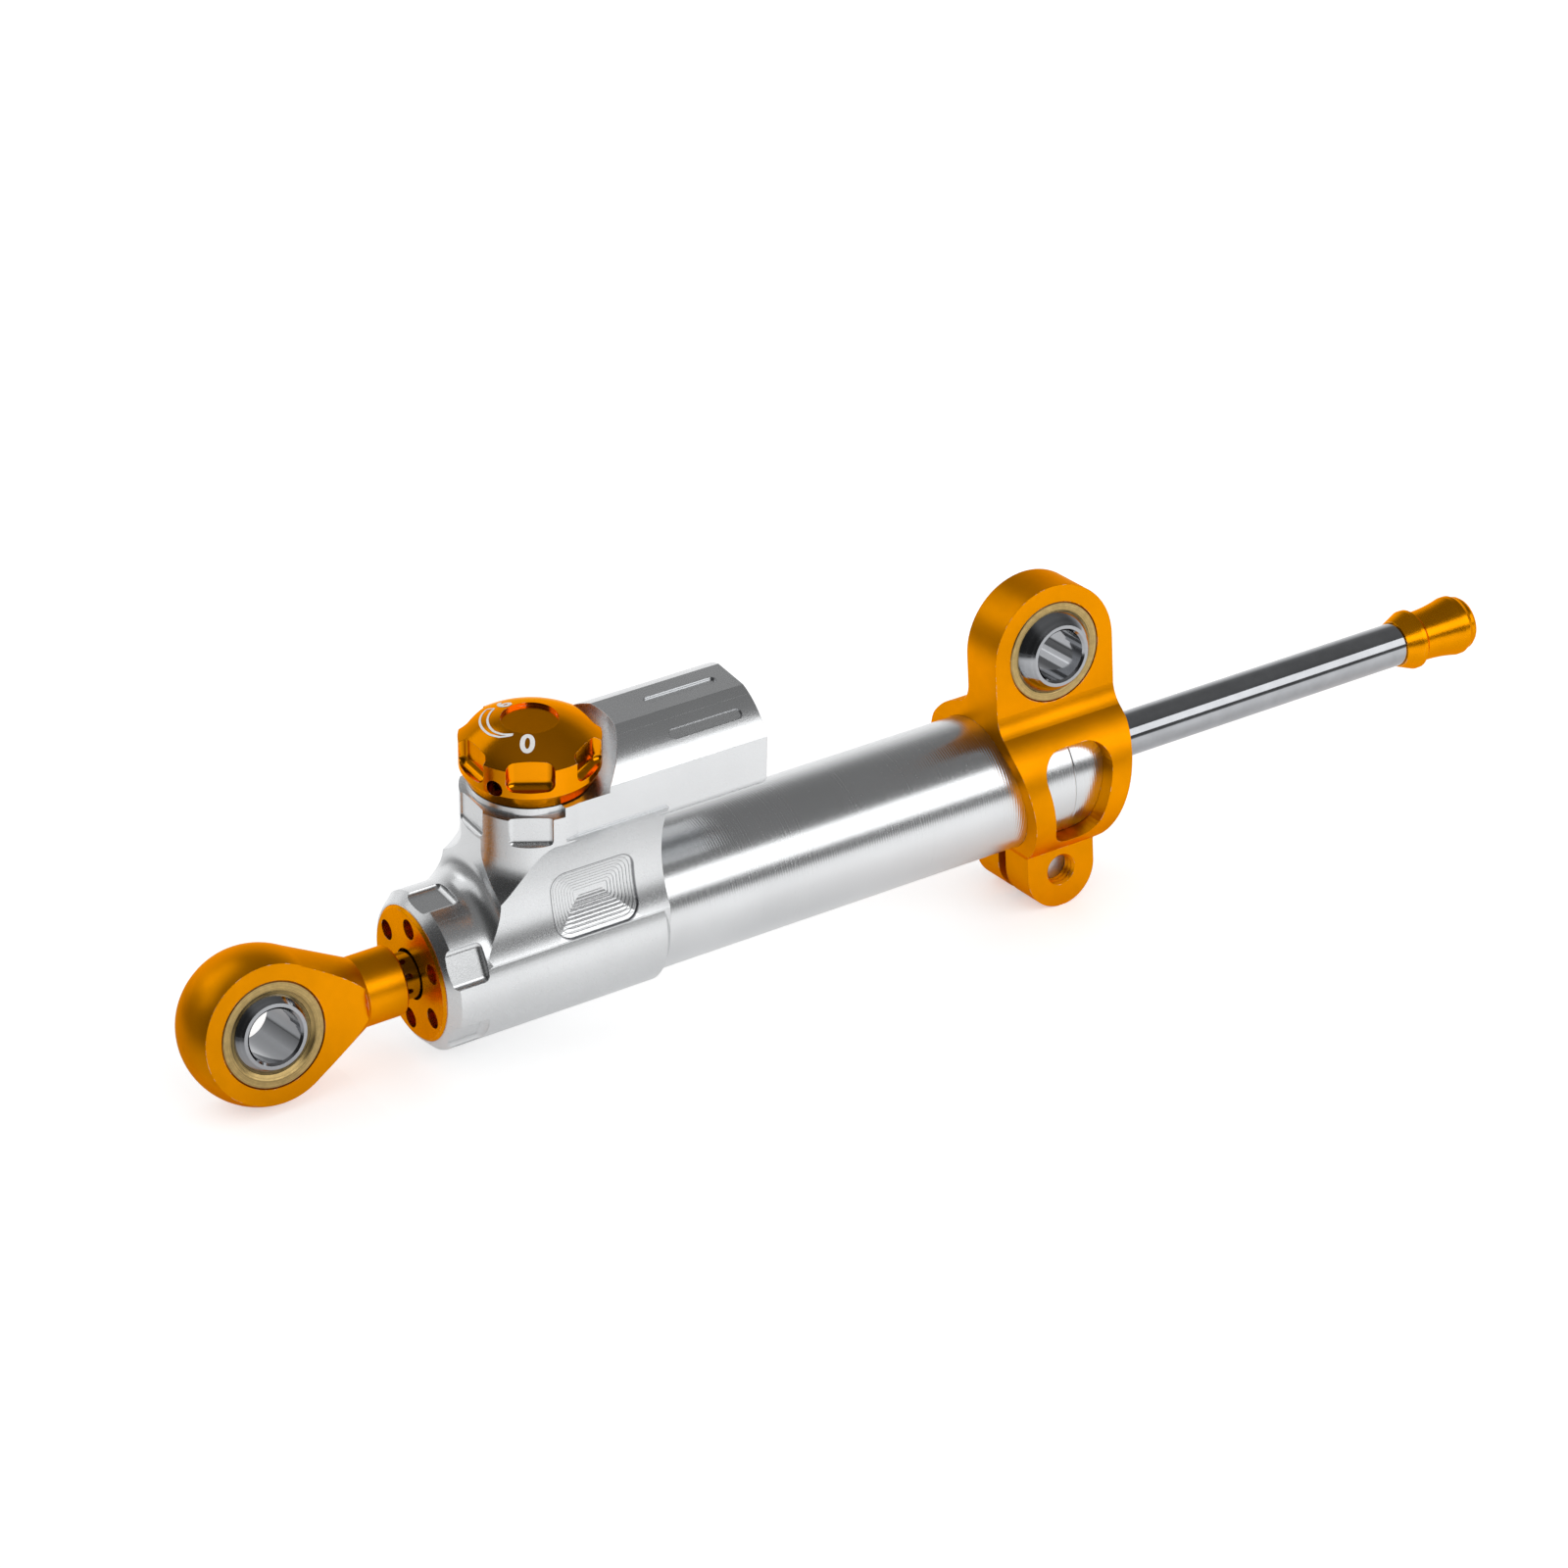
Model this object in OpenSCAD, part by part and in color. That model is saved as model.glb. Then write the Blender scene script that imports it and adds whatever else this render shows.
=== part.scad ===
// Motorcycle steering damper with a dial adjuster and a tube clamp.
// Origin: centre of the rod eye bearing. X runs along the damper to the free rod end,
// Z runs up the adjuster dial axis, and the side that is seen first faces minus Y.

/* [Damper tube] */
// Outer radius of the main tube
tube_r = 11; // [10.6:0.1:11.2]
// Wall of the main tube
tube_wall = 1.1; // [0.9:0.1:1.3]
// Width of the oil passage between the tube and the inner sleeve
sleeve_gap = 0.7; // [0.5:0.05:0.9]
// Wall of the inner sleeve
sleeve_wall = 1; // [0.8:0.1:1.2]
// X of the left end of the main tube, inside the head
tube_x0 = 50; // [49:0.5:52]
// X of the seam between the main tube and the rear end cap
seam_x = 133.3; // [128:0.1:138]
// Length of the rear end cap's visible part
rear_cap_len = 8.3; // [7.5:0.1:10]
// Length of the rear end cap's spigot inside the tube
spigot_len = 9.3; // [8:0.1:10]
// Chamfer on the rear end cap
rear_cap_chamfer = 0.8; // [0.3:0.1:1.2]

/* [Head] */
// Radius of the round head and its front collar
head_r = 12; // [11.8:0.1:12.6]
// X of the front rim of the head
head_x0 = 24.6; // [24.2:0.1:25]
// X of the rear face of the head
head_x1 = 61.1; // [60.5:0.1:64]
// Chamfer on the front rim
rim_chamfer = 1.5; // [0.8:0.1:1.7]
// Chamfer on the rear end of the head
head_rear_chamfer = 1; // [0.4:0.1:1.2]
// X of the rear end of the front collar
collar_x1 = 31; // [30.5:0.1:31.5]
// Radius of the milled cove between the collar and the body
cove_r = 3.6; // [3:0.1:4]
// Radius of the milled hollow along each flank
waist_r = 16.4; // [15:0.1:18]
// Half width of the body at the narrowest place of the flank
waist_half = 8.4; // [8.2:0.1:9]
// Height of that narrowest place
waist_z = 13.9; // [13.5:0.1:14.5]
// Number of finger scallops on the collar
collar_scallops = 6; // [5:1:7]
// Width of a collar scallop
collar_scallop_w = 6.2; // [4:0.1:7]
// Depth of a collar scallop
collar_scallop_depth = 0.9; // [0.4:0.1:0.9]
// Radius of the cutter's ball nose in the collar scallops
collar_scallop_nose = 1; // [0.6:0.1:1.6]

/* [Flank pocket] */
// X of the middle of the stepped pocket
pocket_x = 49.5; // [48.5:0.1:50.5]
// Height of the middle of the stepped pocket
pocket_z = 10; // [9.6:0.1:10.4]
// Length of the pocket
pocket_len = 13.6; // [10:0.1:14.5]
// Height of the pocket
pocket_h = 9.8; // [7:0.1:10.4]
// Corner radius of the pocket
pocket_corner = 2.4; // [1:0.1:3]
// Number of milled steps in the pocket
pocket_steps = 9; // [2:1:10]
// Depth of the first step
pocket_rim_depth = 0.35; // [0.2:0.05:0.4]
// Depth of each further step
pocket_step_depth = 0.08; // [0.05:0.01:0.1]

/* [Dial turret] */
// X of the dial axis
dial_x = 44.4; // [44:0.1:44.8]
// Radius of the turret
turret_r = 10.2; // [9.9:0.1:10.3]
// Height of the turret's top face over the damper axis
turret_top = 27.1; // [26.8:0.1:28.2]
// Radius of the neck at the top of the turret, under the dial
turret_neck_r = 9.1; // [9:0.05:9.3]
// Height of that neck
turret_neck_h = 1.2; // [0.6:0.1:1.5]
// Drop of the rim round the neck
turret_rim_drop = 0.3; // [0.1:0.1:0.5]
// Radius of the cove round the foot of the turret
turret_cove_r = 8; // [7:0.1:9]
// Height at which that cove starts
turret_cove_z = 19; // [18.5:0.1:19.5]
// Depth of the pads milled into the turret
pad_depth = 0.8; // [0.4:0.1:0.9]
// Width of a pad
pad_w = 6.8; // [5:0.1:7.2]
// Radius of the cutter's ball nose in the pads
pad_nose = 0.9; // [0.6:0.1:1.4]
// Height of the lower edge of the pads
pad_z0 = 21.3; // [20.5:0.1:23]

/* [Reservoir block] */
// Half width of the block and of the slab that joins it to the turret
block_half = 10; // [9.8:0.1:10.2]
// Height of the top face of the block
block_top = 33.4; // [33:0.1:33.6]
// Radius of the block's rounded shoulders
block_round_r = 11.5; // [11.3:0.1:12]
// Height of the axis of those shoulders
block_round_z = 22.4; // [22.2:0.1:22.8]
// Height of the underside of the block over the tube
block_bottom = 19.8; // [19.4:0.1:20.4]
// X of the right end of the block
block_x1 = 77.8; // [76:0.1:82]
// Radius of the lower edges and of the end's lower corner
block_low_r = 1.4; // [0.8:0.1:2]
// Gap between the dial and the round wall that is cut for it
dial_gap = 2.1; // [1:0.1:2.6]
// X of the left end of the three slots
slot_x0 = 63.2; // [62:0.1:66]
// Length of a slot
slot_len = 12; // [8:0.1:13]
// Width of a slot
slot_w = 1.6; // [1:0.1:2]
// Depth of a slot
slot_depth = 0.3; // [0.2:0.1:0.9]
// Turn of the outer slots from the top of the block
slot_turn = 38; // [34:1:44]

/* [Adjuster dial] */
// Radius of the dial
knob_r = 10.2; // [9.8:0.1:10.6]
// Radius of the dial's lower edge
knob_low_r = 9.1; // [8.9:0.1:9.6]
// Height of the chamfer under the dial
knob_low_h = 2.1; // [1:0.1:2.4]
// Height of the dial's shoulder over its lower face
knob_shoulder = 6.4; // [6.2:0.1:7]
// Radius of the dial's domed top
dome_r = 17.2; // [16:0.2:24]
// Radius of the dish in the top
dish_r = 4.15; // [3:0.05:5]
// Depth of the dish
dish_depth = 0.5; // [0.3:0.1:0.8]
// Number of finger scallops on the dial
knob_scallops = 6; // [5:1:7]
// Width of a finger scallop
knob_scallop_w = 7; // [5:0.1:7.4]
// Depth of a finger scallop
knob_scallop_depth = 1.5; // [0.6:0.1:1.6]
// Height of a scallop's lower edge over the dial's lower face
knob_scallop_z = 3.1; // [2.4:0.1:3.4]
// Radius of the cutter's ball nose in the scallops
knob_scallop_nose = 1.2; // [0.6:0.1:1.5]
// Direction of the first scallop
knob_scallop_turn = -119.5; // [-125:0.5:-115]
// Direction of the grub screw
grub_turn = -149.5; // [-152:0.5:-147]
// Radius of the grub screw
grub_r = 1.25; // [1:0.05:1.4]
// Length of the grub screw
grub_len = 4.5; // [4:0.1:5]
// Across flats size of the grub screw's hexagon socket
grub_hex = 1.3; // [1:0.1:1.5]

/* [Piston rod] */
// Radius of the rod
rod_r = 3.5; // [3.4:0.05:3.6]
// X of the rod's right end, inside the stop
rod_x1 = 211; // [209:0.5:212.5]
// X of the left face of the piston
piston_x = 113; // [108:0.5:114]
// Length of the piston
piston_len = 8; // [6:0.5:9]
// Length of the guide band round the piston
band_len = 3; // [2:0.1:4]
// Thickness of the guide band
band_t = 0.9; // [0.7:0.1:1.2]
// Thickness of a piston circlip
circlip_t = 0.8; // [0.6:0.1:1]
// Outer radius of a piston circlip
circlip_r = 5; // [4.5:0.1:5.6]

/* [Rod stop] */
// X of the stop's left face
stop_x = 203.5; // [198:0.1:206]
// Length of the stop
stop_len = 14.3; // [13:0.1:16]
// Radius of the stop's collar and bell
stop_r = 4.8; // [4.6:0.1:5.4]
// Radius of the stop's waist
stop_waist_r = 4.05; // [3.95:0.05:4.3]

/* [Rod eye] */
// Roll of the rod and its eye about the damper axis, as photographed
eye_roll = -13; // [-30:1:30]
// Radius of the eye's ball
eye_r = 11.6; // [11.2:0.1:13]
// Half thickness of the eye between its flats
eye_half = 5; // [4.8:0.1:5.2]
// Radius of the neck
neck_r = 5.25; // [5:0.05:5.4]
// X of the end of the neck
neck_x1 = 21.4; // [21:0.1:22]
// Half angle of the cone between ball and neck
eye_cone = 27; // [24:0.5:30]
// Depth to which the rod is screwed into the neck
rod_in_neck = 7; // [5:0.1:8]

/* [Ball bearings] */
// Radius of the bolt hole in each ball
bolt_hole_r = 4; // [3:0.05:4.1]
// Radius of each ball
ball_r = 7.5; // [7.3:0.05:7.6]
// Width of each ball across its flats
ball_w = 11.4; // [11.2:0.1:11.8]
// Outer radius of each brass race
race_r = 8; // [7.9:0.05:8.4]

/* [Clamp] */
// Roll of the clamp about the tube, as photographed
clamp_roll = -7.6; // [-20:0.1:20]
// X of the middle of the clamp
clamp_x = 132.7; // [128:0.1:132.8]
// Outer radius of the clamp ring
ring_r = 13.4; // [13.2:0.1:14]
// Half width of the clamp over the bearing and the ring
lug_half = 10.7; // [10.4:0.1:11]
// Height of the bearing centre over the tube axis
lug_z = 21.6; // [21:0.1:24]
// Distance of the lug's front face from the tube axis
lug_front = 7; // [6.6:0.1:7.4]
// Thickness of the lug
lug_t = 7.5; // [7:0.1:8]
// Radius of the cove in front of the lug
lug_cove_front = 5; // [3:0.1:6]
// Radius of the cove behind the lug
lug_cove_rear = 4; // [3:0.1:5]
// Height where the sides of the clamp start to taper
taper_z = 8.5; // [7:0.1:10]
// Half width of the clamp where the taper ends
taper_half = 6.9; // [6.5:0.1:7.4]
// Radius of the ears' round end
ear_r = 6.1; // [5.9:0.1:6.4]
// Distance of the pinch bolt under the tube axis
ear_drop = 15.1; // [15:0.1:17]
// Half thickness of the pair of ears
ear_half = 7; // [6.6:0.1:7.6]
// Width of the slot between the ears
ear_slot = 2; // [1.4:0.1:2.4]
// Width of the window in the ring near its top
window_half = 6; // [4:0.1:6.3]
// Height of the window's upper edge over the tube axis
window_top = 7.6; // [6.5:0.1:8]
// Depth of the window's lower edge under the tube axis
window_low = 8.5; // [7:0.1:8.7]
// Radius of the pinch bolt
pinch_r = 2.5; // [2:0.05:2.6]
// Radius of the pinch bolt's head
pinch_head_r = 4.25; // [4:0.05:4.6]
// Height of the pinch bolt's head
pinch_head_h = 5; // [4:0.1:5.5]
// Depth of the spot face under the bolt's head
spot_depth = 0.2; // [0.1:0.1:0.5]
// Depth of the bolt's end behind the front ear's face
pinch_recess = 2.5; // [1:0.1:4]
// Pitch of the thread that shows in the front ear
thread_pitch = 0.8; // [0.7:0.05:0.9]
// Height of that thread
thread_h = 0.4; // [0.3:0.05:0.5]

/* [Gland] */
// X of the front face of the gland cap
cap_x0 = 24.2; // [24:0.1:24.5]
// Radius of the gland cap
cap_r = 10.2; // [10:0.05:10.3]
// Length of the gland cap
cap_len = 5.5; // [5:0.1:6]
// Chamfer on the gland cap
cap_chamfer = 0.4; // [0.2:0.05:0.5]
// Radius of the hole round the rod in the cap and in the rear end cap
gland_hole_r = 3.9; // [3.8:0.05:4.4]
// Radius of the ring on which the spanner holes lie
spanner_ring_r = 7.6; // [7.3:0.05:7.8]
// Radius of a spanner hole
spanner_hole_r = 1.55; // [1.2:0.05:1.7]
// Depth of a spanner hole
spanner_hole_depth = 2.6; // [1.5:0.1:3]
// Number of spanner holes
spanner_holes = 6; // [4:1:6]
// Outer radius of the rod seals, wipers and bushes
seal_r = 6; // [5.6:0.1:6.1]
// Length of a rod seal
seal_len = 3; // [2.5:0.1:3.1]
// Length of a wiper
wiper_len = 2.5; // [2:0.1:2.7]
// Length of a rod bush
bush_len = 6.6; // [5:0.1:6.8]
// Length of the front rod guide
guide_len = 11.3; // [11:0.1:11.6]
// Thickness of the front guide's end lip
guide_lip = 1; // [0.8:0.1:1.2]

/* [Adjuster valve] */
// Radius of the adjuster spindle
spindle_r = 2.5; // [2.3:0.05:2.6]
// Radius of the spindle's flange
flange_r = 4; // [3.8:0.05:4.2]
// Thickness of the spindle's flange
flange_t = 1.4; // [1:0.1:1.5]
// Radius of the spindle's threaded stud
stud_r = 1.25; // [1:0.05:1.4]
// Outer radius of the spindle retainer
retainer_r = 6; // [5.6:0.05:6.1]
// Length of the spindle retainer
retainer_len = 4.8; // [4.4:0.1:5]
// Radius of the valve chamber
chamber_r = 3.5; // [3.4:0.05:3.6]
// Height of the floor of the valve chamber
chamber_z0 = 14; // [13.8:0.1:14.2]
// Length of the needle's body
needle_len = 3.6; // [3:0.1:3.8]
// Depth of the needle's tip in the seat at the softest setting
needle_entry = 0.8; // [0.4:0.1:0.9]
// Radius of the hole in the valve seat
seat_hole_r = 1.2; // [1:0.05:1.3]
// Outer radius of the valve seat
seat_r = 3; // [2.6:0.05:3.1]
// Thickness of the valve seat
seat_t = 2; // [1.5:0.1:2.2]
// Radius of the oil ports
port_r = 0.9; // [0.7:0.05:1]

/* [Detent] */
// Radius of the detent ball
detent_r = 1; // [0.8:0.05:1.05]
// Distance of the detent ball from the dial axis
detent_ring_r = 7.6; // [7.5:0.05:7.7]
// Depth of the pocket for the detent spring
detent_depth = 5; // [4:0.1:5.4]
// Radius of the detent spring's wire
detent_wire = 0.16; // [0.12:0.01:0.2]

/* [Oil compensator] */
// Radius of the compensator bore
comp_r = 4.6; // [4.2:0.05:4.8]
// Height of the compensator bore over the damper axis
comp_z = 26.7; // [26.2:0.1:27.2]
// X of the bottom of the compensator bore
comp_x0 = 59; // [58.6:0.1:60]
// Gap behind the floating piston at rest
comp_oil = 3; // [2.6:0.1:3.4]
// Length of the floating piston
comp_piston_len = 4; // [3.4:0.1:4.2]
// Length of the compensator plug
comp_plug_len = 4.2; // [3.6:0.1:4.5]
// Depth of the plug under the end face
comp_plug_sink = 0.3; // [0.1:0.1:0.6]
// Across flats size of the plug's hexagon socket
comp_hex = 4; // [3:0.1:4.4]
// Radius of the compensator spring's wire
comp_wire = 0.4; // [0.3:0.02:0.5]
// Number of turns of the compensator spring
comp_turns = 5; // [4:1:6]

/* [Fits] */
// Radial clearance of parts that slide or turn on each other
run_fit = 0.03; // [0.02:0.005:0.06]
// Radial clearance of parts that are screwed or pressed together
seat_fit = 0.02; // [0.01:0.005:0.03]
// Radial clearance between a soft seal and what moves in it
seal_gap = 0.06; // [0.05:0.005:0.09]
// Radial clearance of the pinch bolt in the rear ear
bolt_gap = 0.25; // [0.1:0.05:0.4]
// Radial clearance of the pinch bolt in the front ear
thread_gap = 0.08; // [0.06:0.01:0.12]
// Free gap between faces that pass each other
face_gap = 0.2; // [0.1:0.05:0.3]
// Half thickness of an O ring's cord
cord_r = 0.7; // [0.6:0.05:0.75]

/* [Hidden] */

$fn = 96;
over = 1;
far = 60;
silver = [0.84, 0.85, 0.87];
gold = [0.95, 0.62, 0.05];
dark_rubber = [0.12, 0.12, 0.13];
brass = [0.79, 0.66, 0.36];
steel = [0.62, 0.64, 0.66];
white_plastic = [0.92, 0.91, 0.87];

tube_bore = tube_r - tube_wall;
sleeve_r = tube_bore - sleeve_gap;
sleeve_bore = sleeve_r - sleeve_wall;
cap_x1 = cap_x0 + cap_len;
guide_x1 = cap_x1 + guide_len;
rear_x1 = seam_x + rear_cap_len;
spigot_x0 = seam_x - spigot_len;
gland_lip = 1;
groove_len = 2.6 * cord_r;
guide_groove_x = cap_x1 + 5;
rear_groove_x = seam_x - 4;
spigot_grip = 1.5;
valve_port_r = 1.5;
sleeve_port_x = spigot_x0 - 2.5;
seam_bevel = 0.12;
rear_wiper_x = rear_x1 - gland_lip - wiper_len - face_gap;
rear_seal_x = rear_wiper_x - seal_len - face_gap;
rear_bush_x = rear_seal_x - bush_len - face_gap;
front_bush_x = guide_x1 - guide_lip - bush_len;
front_seal_x = front_bush_x - seal_len - face_gap;
front_wiper_x = cap_x0 + gland_lip;
sleeve_x1 = spigot_x0 + spigot_grip;
gallery_len = 2;
gallery_x0 = tube_x0 - gallery_len;
body_x0 = collar_x1 + cove_r;
piston_r = sleeve_bore - 2 * run_fit;
piston_x1 = piston_x + piston_len;
rod_x0 = neck_x1 - rod_in_neck;
end_play = 0.1;
knob_z0 = turret_top + face_gap;
shoulder_z = knob_z0 + knob_shoulder;
dome_z = shoulder_z - sqrt(dome_r * dome_r - knob_r * knob_r);
dish_z = dome_z + sqrt(dome_r * dome_r - dish_r * dish_r);
dish_floor = dish_z - dish_depth;
dish_web = 1.6;
spindle_top = dish_floor - dish_web;
retainer_z0 = turret_top - retainer_len;
flange_z1 = retainer_z0 - run_fit;
flange_z0 = flange_z1 - flange_t;
flange_seat_z = flange_z0 - end_play;
needle_z1 = flange_seat_z - face_gap;
needle_z0 = needle_z1 - needle_len;
needle_tip_z = chamber_z0 - needle_entry;
needle_tip_r = 0.3;
needle_floor = 0.3;
stud_z0 = needle_z0 + needle_floor + face_gap;
spindle_ring_z = turret_top - 2;
detent_z = turret_top - detent_depth;
detent_rise = 0.35;
detent_ball_z = turret_top + face_gap + detent_rise - detent_r;
track_depth = detent_rise + seal_gap;
slab_z0 = block_bottom + 1.2;
plug_groove_x = 0.8;
circlip_bite = 0.4;
comp_piston_x = comp_x0 + comp_oil;
comp_spring_x = comp_piston_x + comp_piston_len;
comp_plug_x1 = block_x1 - comp_plug_sink;
comp_plug_x0 = comp_plug_x1 - comp_plug_len;
lug_mid = lug_t / 2 - lug_front;
chord_end = sqrt(1 - pow(0.5, 2));

// Turns a shape that stands along Z so that it lies along X, starting at x.
module along_x(x = 0) {
  translate([x, 0, 0])
    rotate([0, 90, 0])
      children();
}

// A ring or washer along X between two places.
module tube_x(x0, x1, outer, inner) {
  along_x(x0)
    difference() {
      cylinder(r = outer, h = x1 - x0);
      translate([0, 0, -over])
        cylinder(r = inner, h = x1 - x0 + 2 * over);
    }
}

// A rod along X between two places.
module bar_x(x0, x1, r) {
  along_x(x0)
    cylinder(r = r, h = x1 - x0);
}

// An O ring round a Z axis.
module cord_ring(mean_r, r) {
  rotate_extrude($fn = 72)
    translate([mean_r, 0])
      circle(r = r, $fn = 24);
}

// A closed outline with four rounded corners round its centre.
module rounded_outline(w, h, corner) {
  square([w - 2 * corner, h], center = true);
  square([w, h - 2 * corner], center = true);
  for (i = [-1, 1], j = [-1, 1])
    translate([i * (w / 2 - corner), j * (h / 2 - corner)])
      circle(r = corner, $fn = 32);
}

// Stands an outline that is drawn in X and Y upright, with its height along Z and its depth along Y.
module upright(depth) {
  rotate([90, 0, 0])
    linear_extrude(depth, center = true)
      children();
}

// Draws an outline given across Y and up Z, and runs it along X between two places.
module run_x(x0, x1) {
  translate([x0, 0, 0])
    rotate([90, 0, 90])
      linear_extrude(x1 - x0)
        children();
}

// One pocket as a ball nosed cutter leaves it, facing minus Y. It stands on z = 0 and is open above.
// The cutter's centre runs in the plane y = 0, so the flat floor lies at y = nose.
module nose_pocket(w, nose, h) {
  inner = w / 2 - nose;
  translate([-w / 2, -far, nose])
    cube([w, far, h]);
  translate([-inner, -far, 0])
    cube([2 * inner, far, h]);
  translate([-inner, -over, nose])
    cube([2 * inner, over + nose, h]);
  translate([-inner, 0, nose])
    rotate([0, 90, 0])
      cylinder(r = nose, h = 2 * inner, $fn = 32);
  for (side = [-1, 1])
    translate([side * inner, 0, nose]) {
      sphere(r = nose, $fn = 32);
      cylinder(r = nose, h = h, $fn = 32);
      rotate([90, 0, 0])
        cylinder(r = nose, h = far, $fn = 32);
    }
}

// Pockets round a Z axis, with their flat floors at the same distance from it.
module pockets_round(count, first, w, nose, z0, h, floor_at) {
  for (i = [0:count - 1])
    rotate([0, 0, first + i * 360 / count + 90])
      translate([0, -floor_at - nose, z0])
        nose_pocket(w, nose, h);
}

// A coil spring of round wire round a Z axis, as one unbroken tube.
module coil(mean_r, wire, turns, height, steps = 20, sides = 8) {
  count = turns * steps;
  rise = height - 2 * wire;
  points = [for (i = [0:count]) let (a = i * 360 / steps, z = wire + rise * i / count)
    for (j = [0:sides - 1]) let (b = j * 360 / sides, r = mean_r + wire * cos(b))
      [r * cos(a), r * sin(a), z + wire * sin(b)]];
  skin = [for (i = [0:count - 1], j = [0:sides - 1]) let (k = (j + 1) % sides)
    for (t = [0, 1]) t == 0
      ? [i * sides + j, i * sides + k, (i + 1) * sides + j]
      : [i * sides + k, (i + 1) * sides + k, (i + 1) * sides + j]];
  first = [for (j = [1:sides - 2]) [0, j + 1, j]];
  last = [for (j = [1:sides - 2]) [count * sides, count * sides + j, count * sides + j + 1]];
  polyhedron(points = points, faces = concat(skin, first, last));
}

// Cross section of the body between the round head and the slab, with a hollow in each flank.
module waist_outline() {
  difference() {
    translate([-head_r + over, 0])
      square([2 * (head_r - over), block_bottom + 2]);
    for (side = [-1, 1])
      translate([side * (waist_half + waist_r), waist_z])
        circle(r = waist_r, $fn = 160);
  }
}

// Cross section of the reservoir block: a round bar with flat sides, top and underside.
module block_outline() {
  side_z = block_bottom + block_low_r;
  intersection() {
    translate([0, block_round_z])
      circle(r = block_round_r, $fn = 160);
    union() {
      translate([-block_half, side_z])
        square([2 * block_half, block_top - side_z]);
      translate([-block_half + block_low_r, block_bottom])
        square([2 * (block_half - block_low_r), block_low_r + over]);
      for (side = [-1, 1])
        translate([side * (block_half - block_low_r), side_z])
          circle(r = block_low_r, $fn = 32);
    }
  }
}

// The region inside the turret and the cove round its foot.
module turret_flare() {
  foot_r = turret_r + turret_cove_r;
  translate([dial_x, 0, 0])
    rotate_extrude($fn = 128)
      difference() {
        square([foot_r, turret_top]);
        translate([foot_r, turret_cove_z])
          circle(r = turret_cove_r, $fn = 96);
        translate([turret_r, turret_cove_z])
          square([turret_cove_r + over, turret_top]);
      }
}

// The region inside the collar and the cove that rises from it to the body.
module collar_cove() {
  along_x(head_x0)
    rotate_extrude($fn = 128)
      difference() {
        square([head_r + cove_r, body_x0 - head_x0]);
        translate([head_r, -over])
          square([cove_r + over, collar_x1 - head_x0 + over]);
        translate([head_r + cove_r, collar_x1 - head_x0])
          circle(r = cove_r, $fn = 64);
      }
}

module head_round() {
  difference() {
    bar_x(head_x0, head_x1, head_r);
    along_x(head_x0)
      rotate_extrude()
        polygon([[head_r - rim_chamfer, -over], [head_r - rim_chamfer, 0],
          [head_r, rim_chamfer], [head_r + over, rim_chamfer], [head_r + over, -over]]);
    along_x(head_x1)
      rotate_extrude()
        polygon([[head_r - head_rear_chamfer, over], [head_r - head_rear_chamfer, 0],
          [head_r, -head_rear_chamfer], [head_r + over, -head_rear_chamfer],
          [head_r + over, over]]);
  }
}

// The waisted web between the round head and the slab, blended into the turret and the collar.
module head_web() {
  intersection() {
    run_x(collar_x1, head_x1)
      waist_outline();
    union() {
      turret_flare();
      translate([dial_x, -far / 2, 0])
        cube([far, far, far]);
    }
    union() {
      collar_cove();
      translate([body_x0, -far / 2, 0])
        cube([far, far, far]);
    }
  }
}

// The slab that joins the turret to the block, up to the turret's top.
module head_slab() {
  translate([dial_x, -block_half, slab_z0])
    cube([head_x1 - dial_x, 2 * block_half, turret_top - slab_z0]);
}

module reservoir_block() {
  end_len = block_x1 - dial_x;
  difference() {
    intersection() {
      run_x(dial_x, block_x1)
        block_outline();
      translate([dial_x, 0, 0])
        upright(far)
          union() {
            translate([0, block_bottom + block_low_r])
              square([end_len, far]);
            translate([0, block_bottom])
              square([end_len - block_low_r, far]);
            translate([end_len - block_low_r, block_bottom + block_low_r])
              circle(r = block_low_r, $fn = 32);
          }
    }
    translate([dial_x, 0, turret_top])
      cylinder(r = knob_r + dial_gap, h = far, $fn = 128);
    translate([0, -far / 2, 0])
      cube([dial_x + (knob_r + dial_gap) / 4, far, far]);
    translate([0, -far / 2, slab_z0 - far])
      cube([head_x1 - over, far, far]);
  }
}

module slot_cutter() {
  upright_len = slot_len - slot_w;
  translate([slot_x0 + slot_w / 2, 0, -slot_depth])
    linear_extrude(over + slot_depth) {
      translate([0, -slot_w / 2])
        square([upright_len, slot_w]);
      for (x = [0, upright_len])
        translate([x, 0])
          circle(d = slot_w, $fn = 24);
    }
}

// What is cut away round the turret's neck, on the side away from the block.
module turret_neck_cut() {
  rim_z = turret_top - turret_neck_h;
  slope = turret_rim_drop / (turret_r - turret_neck_r);
  intersection() {
    translate([dial_x, 0, 0])
      rotate_extrude($fn = 128)
        polygon([[turret_neck_r, turret_top + over], [turret_neck_r, rim_z],
          [turret_r + over, rim_z - slope * (turret_r + over - turret_neck_r)],
          [turret_r + over, turret_top + over]]);
    translate([dial_x - face_gap - far, -far / 2, 0])
      cube([far, far, far]);
  }
}

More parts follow.
